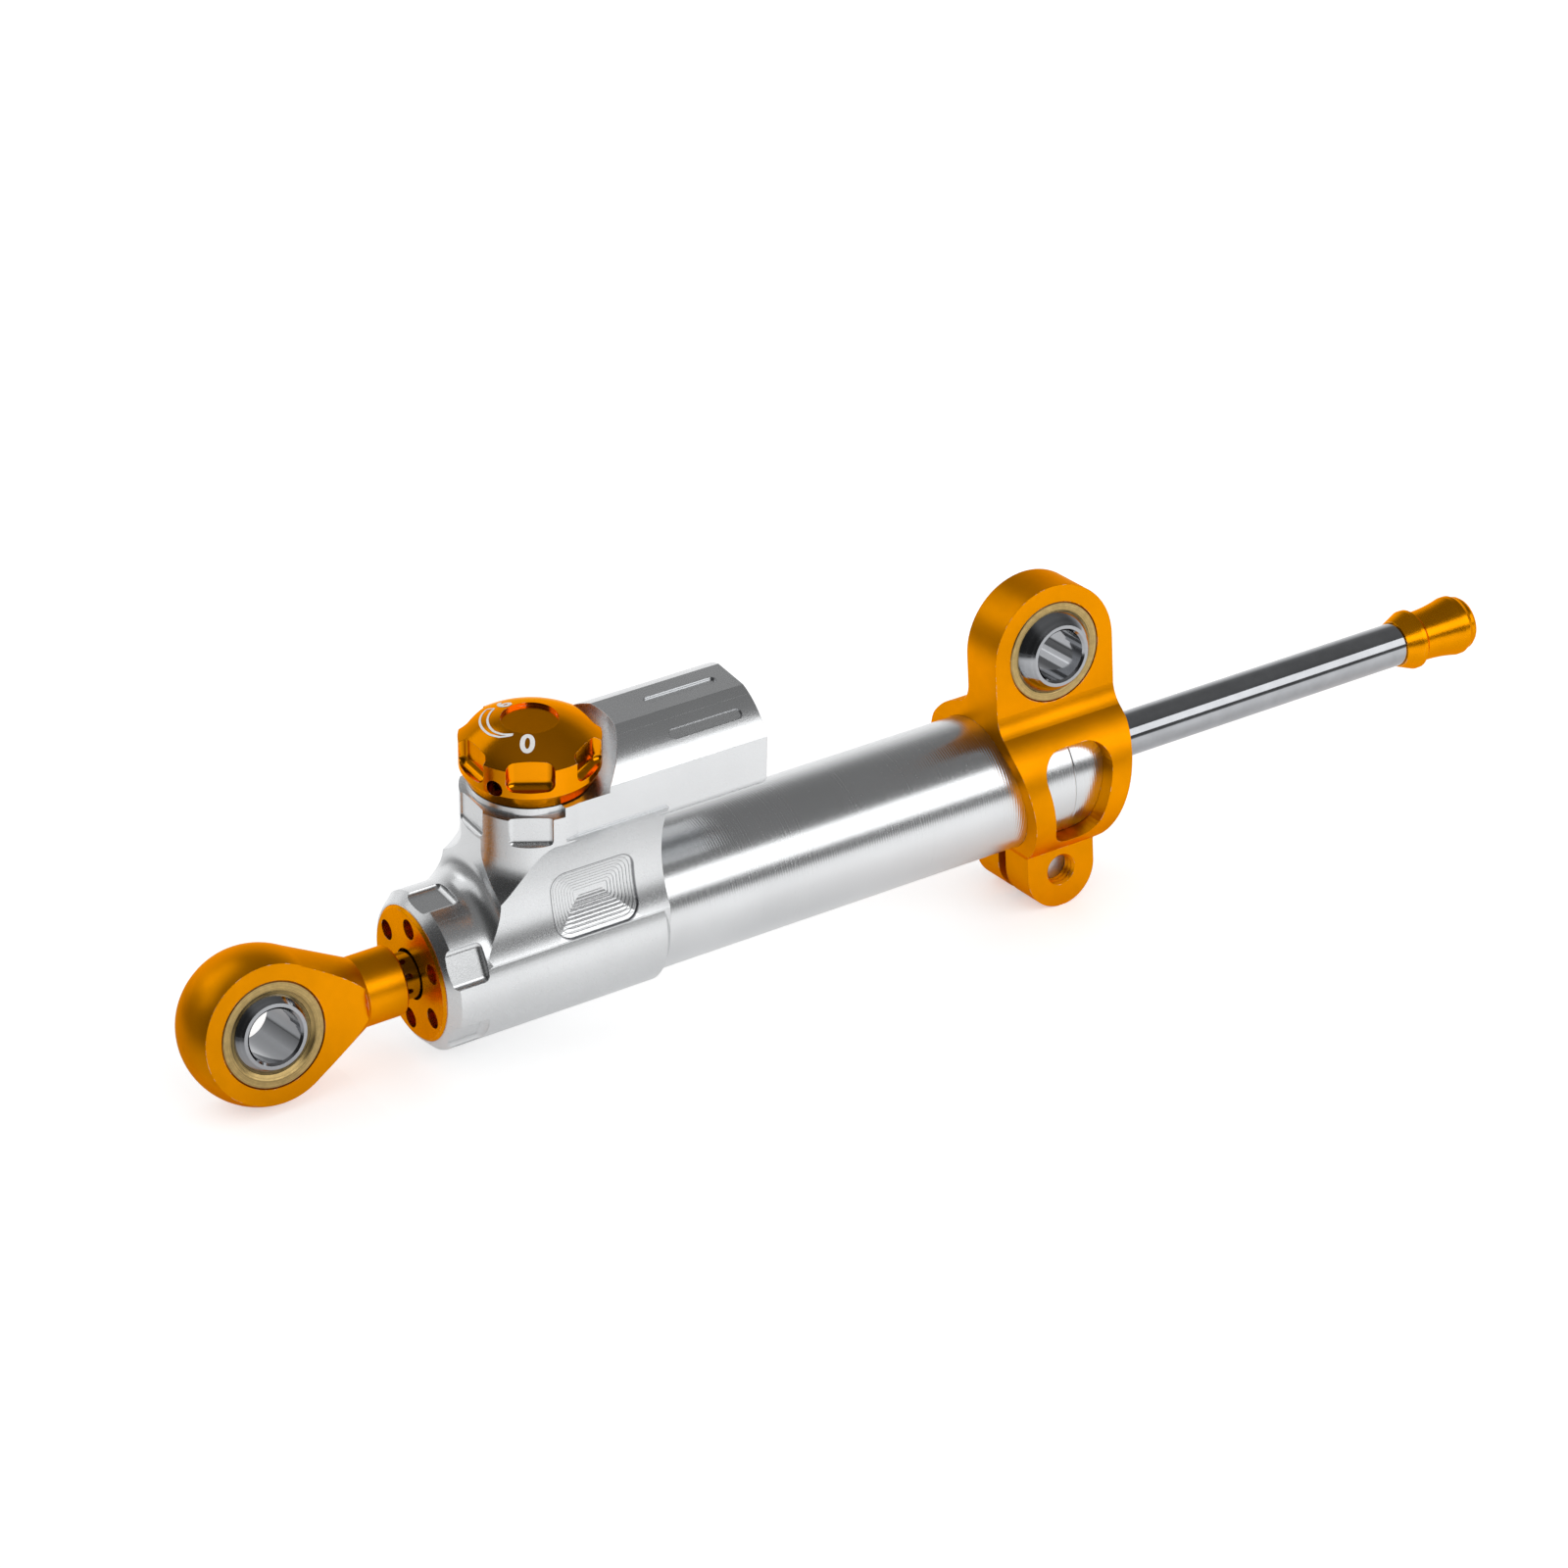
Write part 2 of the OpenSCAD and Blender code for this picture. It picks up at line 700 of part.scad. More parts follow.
// Stepped pocket in the near flank. Each step follows the hollow of the flank.
module flank_pocket() {
  last_half = 0.4;
  least_corner = 0.3;
  shrink = (pocket_h / 2 - last_half) / pocket_steps;
  for (i = [0:pocket_steps - 1])
    intersection() {
      translate([pocket_x, -head_r / 2, pocket_z])
        upright(head_r + 2 * over)
          rounded_outline(pocket_len - 2 * shrink * i, pocket_h - 2 * shrink * i,
            max(least_corner, pocket_corner - shrink * i / 2));
      translate([0, -waist_half - waist_r, waist_z])
        bar_x(pocket_x - pocket_len, pocket_x + pocket_len,
          waist_r + pocket_rim_depth + i * pocket_step_depth);
      translate([0, -head_r, 0])
        cube([2 * far, head_r / 2, far]);
    }
}

module head_passages() {
  bar_x(head_x0 - over, cap_x1, cap_r + seat_fit);
  bar_x(cap_x1 - over, gallery_x0 + over, sleeve_r + seat_fit);
  bar_x(gallery_x0, tube_x0 + over, tube_bore);
  bar_x(tube_x0, head_x1 + over, tube_r + seat_fit);
  translate([dial_x, 0, 0]) {
    translate([0, 0, retainer_z0])
      cylinder(r = retainer_r + seat_fit, h = retainer_len + over);
    translate([0, 0, flange_seat_z])
      cylinder(r = flange_r + 2 * run_fit, h = retainer_z0 - flange_seat_z + over / 2);
    intersection() {
      translate([0, 0, chamber_z0])
        cylinder(r = chamber_r, h = flange_seat_z - chamber_z0 + over / 4);
      translate([-chamber_r, -chamber_r, chamber_z0])
        cube([2 * chamber_r, 2 * chamber_r - chamber_r / 5, far]);
    }
    translate([0, 0, chamber_z0 - seat_t])
      cylinder(r = seat_r + seat_fit, h = seat_t + over / 4);
    translate([0, 0, sleeve_r - over])
      cylinder(r = valve_port_r, h = chamber_z0 - sleeve_r);
    translate([0, detent_ring_r, detent_z])
      cylinder(r = detent_r + run_fit, h = detent_depth + over);
  }
  bar_x_at(comp_x0, block_x1 + over, comp_r, comp_z);
  port([dial_x + chamber_r / 2, 0, needle_z0], [comp_x0 + comp_oil / 2, 0, comp_z - comp_r + over]);
  port([dial_x + chamber_r / 2, 0, chamber_z0 + port_r + face_gap],
    [gallery_x0 + gallery_len / 2, 0, sleeve_r]);
}

// A rod along X at a given height.
module bar_x_at(x0, x1, r, z) {
  translate([0, 0, z])
    bar_x(x0, x1, r);
}

// A straight drilled oil port between two points in the plane of symmetry.
module port(from, to) {
  run = to[0] - from[0];
  rise = to[2] - from[2];
  translate(from)
    rotate([0, 90 - atan2(rise, run), 0])
      cylinder(r = port_r, h = sqrt(run * run + rise * rise), $fn = 24);
}

module head_body() {
  // The pads end this far before the dial axis, so that none is cut into the slab.
  pad_end = 1.6;
  color(silver)
    difference() {
      union() {
        head_round();
        head_web();
        head_slab();
        reservoir_block();
        translate([dial_x, 0, slab_z0])
          cylinder(r = turret_r, h = turret_top - slab_z0);
      }
      along_x(head_x0 - over)
        scallops_flipped();
      intersection() {
        translate([dial_x, 0, 0])
          pockets_round(knob_scallops, knob_scallop_turn, pad_w, pad_nose, pad_z0, far,
            turret_r - pad_depth);
        translate([-over, -far / 2, 0])
          cube([dial_x - pad_end + over, far, far]);
      }
      translate([0, 0, block_top])
        slot_cutter();
      for (side = [-1, 1])
        translate([0, 0, block_round_z])
          rotate([side * slot_turn, 0, 0])
            translate([0, 0, block_round_r])
              slot_cutter();
      turret_neck_cut();
      flank_pocket();
      head_passages();
    }
}

// The collar's scallops, drawn round Z with their rounded ends towards the body.
module scallops_flipped() {
  reach = collar_x1 - head_x0 + over;
  translate([0, 0, reach])
    mirror([0, 0, 1])
      pockets_round(collar_scallops, 0, collar_scallop_w, collar_scallop_nose, 0,
        reach + over, head_r - collar_scallop_depth);
}

// The small bevels that leave a line round the seam of tube and end cap.
module seam_cut() {
  along_x(seam_x)
    rotate_extrude($fn = 96)
      polygon([[tube_r - seam_bevel, 0], [tube_r + seam_bevel, 2 * seam_bevel],
        [tube_r + seam_bevel, -2 * seam_bevel]]);
}

module main_tube() {
  color(silver)
    difference() {
      tube_x(tube_x0, seam_x, tube_r, tube_bore);
      seam_cut();
    }
}

module inner_sleeve() {
  color(steel)
    difference() {
      tube_x(guide_x1, sleeve_x1, sleeve_r, sleeve_bore);
      translate([dial_x, 0, 0])
        cylinder(r = valve_port_r, h = sleeve_r + over);
      for (turn = [0:90:270])
        rotate([turn + 45, 0, 0])
          translate([sleeve_port_x, 0, 0])
            cylinder(r = port_r, h = sleeve_r + over, $fn = 24);
    }
}

module rear_end_cap() {
  color(silver)
    difference() {
      union() {
        along_x(seam_x)
          cylinder(r = tube_r, h = rear_cap_len - rear_cap_chamfer);
        along_x(rear_x1 - rear_cap_chamfer)
          cylinder(r1 = tube_r, r2 = tube_r - rear_cap_chamfer, h = rear_cap_chamfer);
        bar_x(spigot_x0, seam_x, tube_bore - seat_fit);
      }
      bar_x(spigot_x0 - over, sleeve_x1, sleeve_r + seat_fit);
      bar_x(spigot_x0, rear_x1 - gland_lip, seal_r + seat_fit);
      bar_x(spigot_x0, rear_x1 + over, gland_hole_r);
      tube_x(rear_groove_x, rear_groove_x + groove_len, tube_r, tube_bore - 2 * cord_r);
      seam_cut();
    }
}

module rear_cap_oring() {
  color(dark_rubber)
    along_x(rear_groove_x + groove_len / 2)
      cord_ring(tube_bore - cord_r, cord_r - seat_fit);
}

module front_gland_cap() {
  color(gold)
    difference() {
      union() {
        along_x(cap_x0)
          cylinder(r1 = cap_r - cap_chamfer, r2 = cap_r, h = cap_chamfer);
        bar_x(cap_x0 + cap_chamfer, cap_x1, cap_r);
      }
      bar_x(cap_x0 - over, cap_x1 + over, gland_hole_r);
      bar_x(front_wiper_x, cap_x1 + over, seal_r + seat_fit);
      for (i = [0:spanner_holes - 1])
        rotate([(i + 0.5) * 360 / spanner_holes, 0, 0])
          translate([0, -spanner_ring_r, 0])
            bar_x(cap_x0 - over, cap_x0 + spanner_hole_depth, spanner_hole_r, $fn = 32);
    }
}

// A lip seal: a soft ring with a groove in its pressure side.
module lip_ring(x, len, groove_side) {
  mid = (rod_r + seal_gap + seal_r) / 2;
  half_w = 0.4;
  depth = 1;
  start = groove_side > 0 ? x + len - depth : x - over;
  difference() {
    tube_x(x, x + len, seal_r, rod_r + seal_gap);
    tube_x(start, start + depth + over, mid + half_w, mid - half_w);
  }
}

module front_wiper() {
  color(dark_rubber)
    lip_ring(front_wiper_x, wiper_len, -1);
}

module front_rod_seal() {
  color(dark_rubber)
    lip_ring(front_seal_x, seal_len, 1);
}

module rear_rod_seal() {
  color(dark_rubber)
    lip_ring(rear_seal_x, seal_len, -1);
}

module rear_wiper() {
  color(dark_rubber)
    lip_ring(rear_wiper_x, wiper_len, 1);
}

module front_rod_guide() {
  color(silver)
    difference() {
      bar_x(cap_x1, guide_x1, sleeve_r);
      bar_x(cap_x1 - over, guide_x1 - guide_lip, seal_r + seat_fit);
      bar_x(cap_x1, guide_x1 + over, gland_hole_r);
      tube_x(guide_groove_x, guide_groove_x + groove_len, tube_r, sleeve_r - 2 * cord_r);
    }
}

module front_guide_oring() {
  color(dark_rubber)
    along_x(guide_groove_x + groove_len / 2)
      cord_ring(sleeve_r - cord_r, cord_r - seat_fit);
}

module front_rod_bush() {
  color(brass)
    tube_x(front_bush_x, front_bush_x + bush_len, seal_r, rod_r + run_fit);
}

module rear_rod_bush() {
  color(brass)
    tube_x(rear_bush_x, rear_bush_x + bush_len, seal_r, rod_r + run_fit);
}

module piston_rod() {
  groove_r = rod_r - circlip_bite;
  tip = 0.6;
  color([0.78, 0.79, 0.81])
    difference() {
      union() {
        bar_x(rod_x0, rod_x1 - tip, rod_r);
        along_x(rod_x1 - tip)
          cylinder(r1 = rod_r, r2 = rod_r - tip, h = tip);
      }
      for (x = [piston_x - circlip_t, piston_x1])
        tube_x(x, x + circlip_t, rod_r + over, groove_r);
    }
}

module piston() {
  band_x = piston_x + (piston_len - band_len) / 2;
  color(silver)
    difference() {
      bar_x(piston_x, piston_x1, piston_r);
      bar_x(piston_x - over, piston_x1 + over, rod_r + run_fit);
      tube_x(band_x, band_x + band_len, piston_r + over, piston_r - band_t);
    }
}

module piston_band() {
  band_x = piston_x + (piston_len - band_len) / 2;
  color(white_plastic)
    tube_x(band_x + seat_fit, band_x + band_len - seat_fit, sleeve_bore - run_fit,
      piston_r - band_t + seat_fit);
}

module piston_circlips() {
  gap_w = 2.4;
  color(steel)
    for (x = [piston_x - circlip_t, piston_x1])
      difference() {
        tube_x(x + run_fit, x + circlip_t - run_fit, circlip_r,
          rod_r - circlip_bite + seat_fit);
        translate([x - over, -gap_w / 2, 0])
          cube([circlip_t + 2 * over, gap_w, circlip_r + over]);
      }
}

// Outline of the turned eye blank, drawn with the damper axis upwards: ball, cone and neck.
// The cone runs a hair inside the ball's tangent, so that the outlines cross and don't just touch.
module eye_profile() {
  edge = 0.3;
  dip = 0.03;
  back = 0.4;
  start_x = eye_r * sin(eye_cone) - back;
  start_r = eye_r * cos(eye_cone) + back * tan(eye_cone) - dip / cos(eye_cone);
  neck_start = start_x + (start_r - neck_r) / tan(eye_cone);
  difference() {
    circle(r = eye_r, $fn = 160);
    translate([-2 * eye_r, -2 * eye_r])
      square([2 * eye_r, 4 * eye_r]);
  }
  polygon([[0, 0], [start_r / 2, 0], [start_r, start_x], [neck_r, neck_start],
    [neck_r, neck_x1 - edge], [neck_r - edge, neck_x1], [0, neck_x1]]);
}

module rod_eye() {
  // The mill that cuts the flats stops here, short of the full depth of its round end.
  flat_x1 = eye_r + neck_r - 2.2;
  color(gold)
    rotate([eye_roll, 0, 0])
      difference() {
        rotate([0, 90, 0])
          rotate_extrude($fn = 160)
            eye_profile();
        for (side = [-1, 1])
          translate([-far / 2, side > 0 ? eye_half : -eye_half - far, -far / 2])
            cube([far / 2 + flat_x1, far, far]);
        rotate([90, 0, 0])
          cylinder(r = race_r + seat_fit, h = far, center = true);
        bar_x(rod_x0 - face_gap, neck_x1 + over, rod_r + seat_fit);
      }
}

// Brass race of a ball bearing, with its axis along Y.
module race(width) {
  bevel = 0.25;
  rim_w = 1.3;
  dish_w = 1;
  dish_t = 0.5;
  half = width / 2;
  rotate([90, 0, 0])
    rotate_extrude($fn = 96)
      difference() {
        polygon([[ball_r / 2, -half], [race_r - bevel, -half], [race_r, bevel - half],
          [race_r, half - bevel], [race_r - bevel, half], [ball_r / 2, half]]);
        circle(r = ball_r + run_fit, $fn = 160);
        for (side = [-1, 1])
          polygon([[0, side * (half + over)],
            [race_r - rim_w + dish_w * over / dish_t, side * (half + over)],
            [race_r - rim_w - dish_w, side * (half - dish_t)], [0, side * (half - dish_t)]]);
      }
}

// Steel ball of a ball bearing, with its bolt hole along Y.
module bearing_ball() {
  edge = 0.35;
  half = ball_w / 2;
  rotate([90, 0, 0])
    difference() {
      intersection() {
        sphere(r = ball_r, $fn = 160);
        cube([2 * ball_r, 2 * ball_r, ball_w], center = true);
      }
      cylinder(r = bolt_hole_r, h = ball_w + over, center = true);
      for (side = [0, 1])
        mirror([0, 0, side])
          translate([0, 0, half - edge])
            cylinder(r1 = bolt_hole_r, r2 = bolt_hole_r + 2 * edge, h = 2 * edge);
    }
}

module rod_eye_race() {
  color(brass)
    rotate([eye_roll, 0, 0])
      race(2 * eye_half);
}

module rod_eye_ball() {
  color(steel)
    rotate([eye_roll, 0, 0])
      bearing_ball();
}

// Profile of the turned stop, drawn with the damper axis upwards from its left face.
function stop_profile() = let (bell = stop_len - 3.2, crest = 3) concat(
  [[rod_r + 0.25, 0], [stop_r, crest - 0.4], [stop_r, crest + 0.3]],
  [for (i = [0:12]) let (t = i / 12)
    [stop_waist_r + (stop_r - stop_waist_r) * pow(t, 2.2), crest + 1.1 + t * (bell - crest - 1.1)]],
  [[stop_r, bell + 0.9], [stop_r - 0.35, bell + 1.6]],
  [for (i = [0:4]) let (a = i * 22.5)
    [stop_r - 1.95 + 1.6 * cos(a), stop_len - 1.6 + 1.6 * sin(a)]],
  [[0, stop_len], [0, 0]]);

module rod_end_stop() {
  color(gold)
    difference() {
      along_x(stop_x)
        rotate_extrude($fn = 96)
          polygon(stop_profile());
      bar_x(stop_x - over, rod_x1 + face_gap, rod_r + seat_fit);
    }
}

// The clamp's front view shapes, each run through its full depth: lug, tapered ring and ears.
module clamp_lobes() {
  taper_z1 = ear_r - ear_drop - 1.4;
  step_z = taper_z1 - 1.2;
  upright(far)
    translate([0, lug_z])
      circle(r = lug_half, $fn = 128);
  upright(far)
    translate([0, -ear_drop])
      circle(r = ear_r, $fn = 64);
  upright(far)
    polygon([[-lug_half, lug_z], [lug_half, lug_z], [lug_half, taper_z],
      [taper_half, taper_z1], [ear_r, step_z], [ear_r, -ear_drop],
      [-ear_r, -ear_drop], [-ear_r, step_z], [-taper_half, taper_z1],
      [-lug_half, taper_z]]);
}

// One cove that runs from a vertical face at y onto the ring, on the side given. Its circle
// dips a hair into both, so that the outlines cross and don't just touch.
module ring_cove(y, r, side) {
  dip = 0.02;
  cove_y = y + side * (r - dip);
  cove_z = sqrt(pow(ring_r + r - dip, 2) - cove_y * cove_y);
  difference() {
    polygon([[0, 0], [cove_y, cove_z], [y, cove_z]]);
    translate([cove_y, cove_z])
      circle(r = r, $fn = 64);
  }
}

// The clamp's side view shapes, each run across its full width: ring, lug, coves and ears.
module clamp_bands() {
  x1 = lug_half + over;
  run_x(-x1, x1)
    circle(r = ring_r, $fn = 160);
  translate([-x1, -lug_front, 0])
    cube([2 * x1, lug_t, lug_z + x1]);
  run_x(-x1, x1)
    ring_cove(-lug_front, lug_cove_front, -1);
  run_x(-x1, x1)
    ring_cove(lug_t - lug_front, lug_cove_rear, 1);
  translate([-x1, -ear_half, -ear_drop - ear_r - over])
    cube([2 * x1, 2 * ear_half, ear_drop + ear_r + over]);
}

// Window through the ring, following the taper of the sides.
module window_outline() {
  top_r = 3.8;
  low_r = 3.6;
  // The window narrows as the sides of the clamp do.
  low_half = window_half * 0.72;
  hull() {
    for (side = [-1, 1]) {
      translate([side * (window_half - top_r), window_top - top_r])
        circle(r = top_r, $fn = 32);
      translate([side * (low_half - low_r), -window_low + low_r])
        circle(r = low_r, $fn = 32);
    }
  }
}

// Bore of the front ear from its face inwards, with the thread's crests as rings up to the bolt.
module front_ear_bore() {
  root_r = pinch_r + thread_gap;
  crest = 0.1;
  count = floor((pinch_recess - crest / 2) / thread_pitch);
  rotate_extrude($fn = 64)
    polygon(concat([[0, -over], [root_r, -over], [root_r, 0]],
      [for (i = [0:count - 1], p = [[thread_h, 0.5], [thread_h, 0.5 + crest], [0, 1]])
        [root_r - p[0], (i + p[1]) * thread_pitch]],
      [[root_r, ear_half], [0, ear_half]]));
}

module clamp() {
  color(gold)
    translate([clamp_x, 0, 0])
      rotate([clamp_roll, 0, 0])
        difference() {
          intersection() {
            clamp_lobes();
            clamp_bands();
          }
          bar_x(-far, far, tube_r + run_fit);
          translate([0, 0, lug_z])
            rotate([90, 0, 0])
              cylinder(r = race_r + seat_fit, h = far, center = true);
          translate([-far / 2, -ear_slot / 2, -far])
            cube([far, ear_slot, far]);
          upright(far)
            window_outline();
          translate([0, -ear_half, -ear_drop])
            rotate([-90, 0, 0])
              front_ear_bore();
          translate([0, 0, -ear_drop])
            rotate([-90, 0, 0])
              cylinder(r = pinch_r + bolt_gap, h = far);
          translate([0, ear_half - spot_depth, -ear_drop])
            rotate([-90, 0, 0])
              cylinder(r = pinch_head_r + face_gap, h = far);
        }
}

// Moves a piece drawn round the clamp bearing to its place in the clamp.
module at_clamp_bearing() {
  translate([clamp_x, 0, 0])
    rotate([clamp_roll, 0, 0])
      translate([0, lug_mid, lug_z])
        children();
}

module clamp_race() {
  color(brass)
    at_clamp_bearing()
      race(lug_t);
}

module clamp_ball() {
  color(steel)
    at_clamp_bearing()
      bearing_ball();
}

module clamp_pinch_bolt() {
  socket_af = 4;
  socket_depth = 2.6;
  head_z = ear_half - spot_depth;
  color(steel)
    translate([clamp_x, 0, 0])
      rotate([clamp_roll, 0, 0])
        translate([0, 0, -ear_drop])
          rotate([-90, 0, 0])
            difference() {
              union() {
                translate([0, 0, -ear_half + pinch_recess])
                  cylinder(r = pinch_r, h = head_z + ear_half - pinch_recess + over / 2);
                translate([0, 0, head_z])
                  cylinder(r = pinch_head_r, h = pinch_head_h);
              }
              translate([0, 0, head_z + pinch_head_h - socket_depth])
                cylinder(d = socket_af / chord_end, h = socket_depth + over, $fn = 6);
            }
}

module adjuster_knob() {
  color(gold)
    translate([dial_x, 0, 0])
      difference() {
        intersection() {
          translate([0, 0, dome_z])
            sphere(r = dome_r, $fn = 160);
          union() {
            translate([0, 0, knob_z0])
              cylinder(r1 = knob_low_r, r2 = knob_r, h = knob_low_h);
            translate([0, 0, knob_z0 + knob_low_h])
              cylinder(r = knob_r, h = dome_r);
          }
        }
        translate([0, 0, dish_floor])
          cylinder(r = dish_r, h = dome_r);
        pockets_round(knob_scallops, knob_scallop_turn, knob_scallop_w, knob_scallop_nose,
          knob_z0 + knob_scallop_z, far, knob_r - knob_scallop_depth);
        translate([0, 0, knob_z0 - over])
          cylinder(r = spindle_r + seat_fit, h = spindle_top - knob_z0 + over + face_gap);
        translate([0, 0, knob_z0])
          rotate_extrude()
            translate([detent_ring_r - detent_r, -over])
              square([2 * detent_r, track_depth + over]);
        at_grub()
          cylinder(r = grub_r + seat_fit, h = knob_r);
      }
}

// Moves a piece drawn along Z to the grub screw's line, with the dial axis at its start.
module at_grub() {
  translate([0, 0, knob_z0 + knob_scallop_z])
    rotate([0, 90, grub_turn])
      children();
}

module knob_grub_screw() {
  socket_depth = 1.2;
  color(steel)
    translate([dial_x, 0, 0])
      at_grub()
        translate([0, 0, spindle_r + seat_fit])
          difference() {
            cylinder(r = grub_r, h = grub_len);
            translate([0, 0, grub_len - socket_depth])
              cylinder(d = grub_hex / chord_end, h = socket_depth + over, $fn = 6);
          }
}

module adjuster_spindle() {
  groove_half = 0.6;
  groove_depth = 1;
  color(steel)
    translate([dial_x, 0, 0])
      difference() {
        union() {
          translate([0, 0, flange_z1 - flange_t / 2])
            cylinder(r = spindle_r, h = spindle_top - flange_z1 + flange_t / 2);
          translate([0, 0, flange_z0])
            cylinder(r = flange_r, h = flange_t);
          translate([0, 0, stud_z0])
            cylinder(r = stud_r, h = flange_z0 - stud_z0 + flange_t / 2);
        }
        translate([0, 0, spindle_ring_z])
          rotate_extrude()
            translate([spindle_r - groove_depth, -groove_half])
              square([2 * groove_depth, 2 * groove_half]);
      }
}

module spindle_oring() {
  small_cord_r = 0.48;
  color(dark_rubber)
    translate([dial_x, 0, spindle_ring_z])
      cord_ring(spindle_r - small_cord_r, small_cord_r);
}

module spindle_retainer() {
  pin_hole_r = 0.7;
  pin_hole_depth = 1.2;
  color(brass)
    translate([dial_x, 0, retainer_z0])
      difference() {
        cylinder(r = retainer_r, h = retainer_len);
        translate([0, 0, -over])
          cylinder(r = spindle_r + run_fit, h = retainer_len + 2 * over);
        for (turn = [0, 180])
          rotate([0, 0, turn])
            translate([(retainer_r + spindle_r) / 2, 0, retainer_len - pin_hole_depth])
              cylinder(r = pin_hole_r, h = pin_hole_depth + over, $fn = 24);
      }
}

module needle_valve() {
  cone_r = seat_hole_r + 0.6;
  color(steel)
    translate([dial_x, 0, 0])
      difference() {
        union() {
          intersection() {
            translate([0, 0, needle_z0])
              cylinder(r = chamber_r - run_fit, h = needle_len);
            translate([-chamber_r, -chamber_r, needle_z0])
              cube([2 * chamber_r, 2 * chamber_r - chamber_r / 5 - run_fit, needle_len]);
          }
          translate([0, 0, needle_tip_z])
            cylinder(r1 = needle_tip_r, r2 = cone_r, h = needle_z0 - needle_tip_z);
        }
        translate([0, 0, needle_z0 + needle_floor])
          cylinder(r = stud_r + run_fit, h = needle_len);
      }
}

module valve_seat() {
  color(brass)
    translate([dial_x, 0, chamber_z0 - seat_t])
      difference() {
        cylinder(r = seat_r, h = seat_t);
        translate([0, 0, -over])
          cylinder(r = seat_hole_r, h = seat_t + 2 * over);
      }
}

module detent_ball() {
  color(steel)
    translate([dial_x, detent_ring_r, detent_ball_z])
      sphere(r = detent_r, $fn = 48);
}

module detent_spring() {
  turns = 5;
  seat_z = detent_ball_z - detent_r * 0.75;
  color(steel)
    translate([dial_x, detent_ring_r, detent_z])
      coil(detent_r - detent_wire - run_fit, detent_wire, turns, seat_z - detent_z, 16, 6);
}

module compensator_piston() {
  groove_x = comp_piston_x + comp_piston_len / 2 - cord_r;
  color(silver)
    translate([0, 0, comp_z])
      difference() {
        bar_x(comp_piston_x, comp_spring_x, comp_r - run_fit);
        tube_x(groove_x, groove_x + 2 * cord_r, comp_r + over, comp_r - 2 * cord_r);
        bar_x(comp_spring_x - comp_piston_len / 4, comp_spring_x + over, comp_r / 2);
      }
}

module compensator_oring() {
  color(dark_rubber)
    translate([0, 0, comp_z])
      along_x(comp_piston_x + comp_piston_len / 2)
        cord_ring(comp_r - cord_r - run_fit / 2, cord_r - seat_fit);
}

module compensator_spring() {
  color(steel)
    translate([0, 0, comp_z])
      along_x(comp_spring_x + seat_fit)
        coil(comp_r - comp_wire - 2 * face_gap, comp_wire, comp_turns,
          comp_plug_x0 - comp_spring_x - 2 * seat_fit);
}

module compensator_plug() {
  groove_x = comp_plug_x0 + plug_groove_x;
  socket_depth = 2;
  color(silver)
    translate([0, 0, comp_z])
      difference() {
        bar_x(comp_plug_x0, comp_plug_x1, comp_r - seat_fit);
        tube_x(groove_x, groove_x + 2 * cord_r, comp_r + over, comp_r - 2 * cord_r);
        along_x(comp_plug_x1 - socket_depth)
          cylinder(d = comp_hex / chord_end, h = socket_depth + over, $fn = 6);
      }
}

module compensator_plug_oring() {
  color(dark_rubber)
    translate([0, 0, comp_z])
      along_x(comp_plug_x0 + plug_groove_x + cord_r)
        cord_ring(comp_r - cord_r, cord_r - seat_fit);
}

head_body();
main_tube();
inner_sleeve();
rear_end_cap();
front_gland_cap();
front_wiper();
front_rod_guide();
front_rod_seal();
front_rod_bush();
front_guide_oring();
rear_rod_bush();
rear_rod_seal();
rear_wiper();
rear_cap_oring();
piston_rod();
piston();
piston_band();
piston_circlips();
rod_eye();
rod_eye_race();
rod_eye_ball();
rod_end_stop();
clamp();
clamp_race();
clamp_ball();
clamp_pinch_bolt();
adjuster_knob();
knob_grub_screw();
adjuster_spindle();
spindle_oring();
spindle_retainer();
needle_valve();
valve_seat();
detent_ball();
detent_spring();
compensator_piston();
compensator_oring();
compensator_spring();
compensator_plug();
compensator_plug_oring();
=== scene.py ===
"""Motorcycle steering damper: looks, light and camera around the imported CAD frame.

Units are metres in the row frame. The origin is the centre of the rod eye, X runs along
the damper, Z up the dial axis, and the side that the camera sees faces minus Y.
"""

import math

import bmesh
import bpy
from mathutils import Matrix, Vector


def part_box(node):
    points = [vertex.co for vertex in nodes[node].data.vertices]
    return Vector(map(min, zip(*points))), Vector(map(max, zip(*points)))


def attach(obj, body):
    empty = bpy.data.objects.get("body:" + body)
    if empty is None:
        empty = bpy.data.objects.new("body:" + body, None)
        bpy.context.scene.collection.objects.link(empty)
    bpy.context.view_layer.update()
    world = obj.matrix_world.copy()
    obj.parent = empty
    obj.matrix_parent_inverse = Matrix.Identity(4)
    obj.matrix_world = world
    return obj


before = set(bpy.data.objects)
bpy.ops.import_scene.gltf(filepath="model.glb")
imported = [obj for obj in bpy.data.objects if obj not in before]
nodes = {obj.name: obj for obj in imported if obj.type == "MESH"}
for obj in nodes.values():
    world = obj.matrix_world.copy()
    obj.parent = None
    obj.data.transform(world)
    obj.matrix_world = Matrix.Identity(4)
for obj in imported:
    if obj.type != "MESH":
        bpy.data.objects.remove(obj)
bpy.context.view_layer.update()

MM = 0.001

# Sizes of the part that the looks need, as in part.scad
DIAL_X = 44.4 * MM
DOME_R = 17.2 * MM
DISH_R = 4.15 * MM
EYE_ROLL = math.radians(-13)
CLAMP_ROLL = math.radians(-7.6)
EYE_BALL = (0, 0, 0)
CLAMP_BALL = (132.7 * MM, -0.365 * MM, 21.84 * MM)

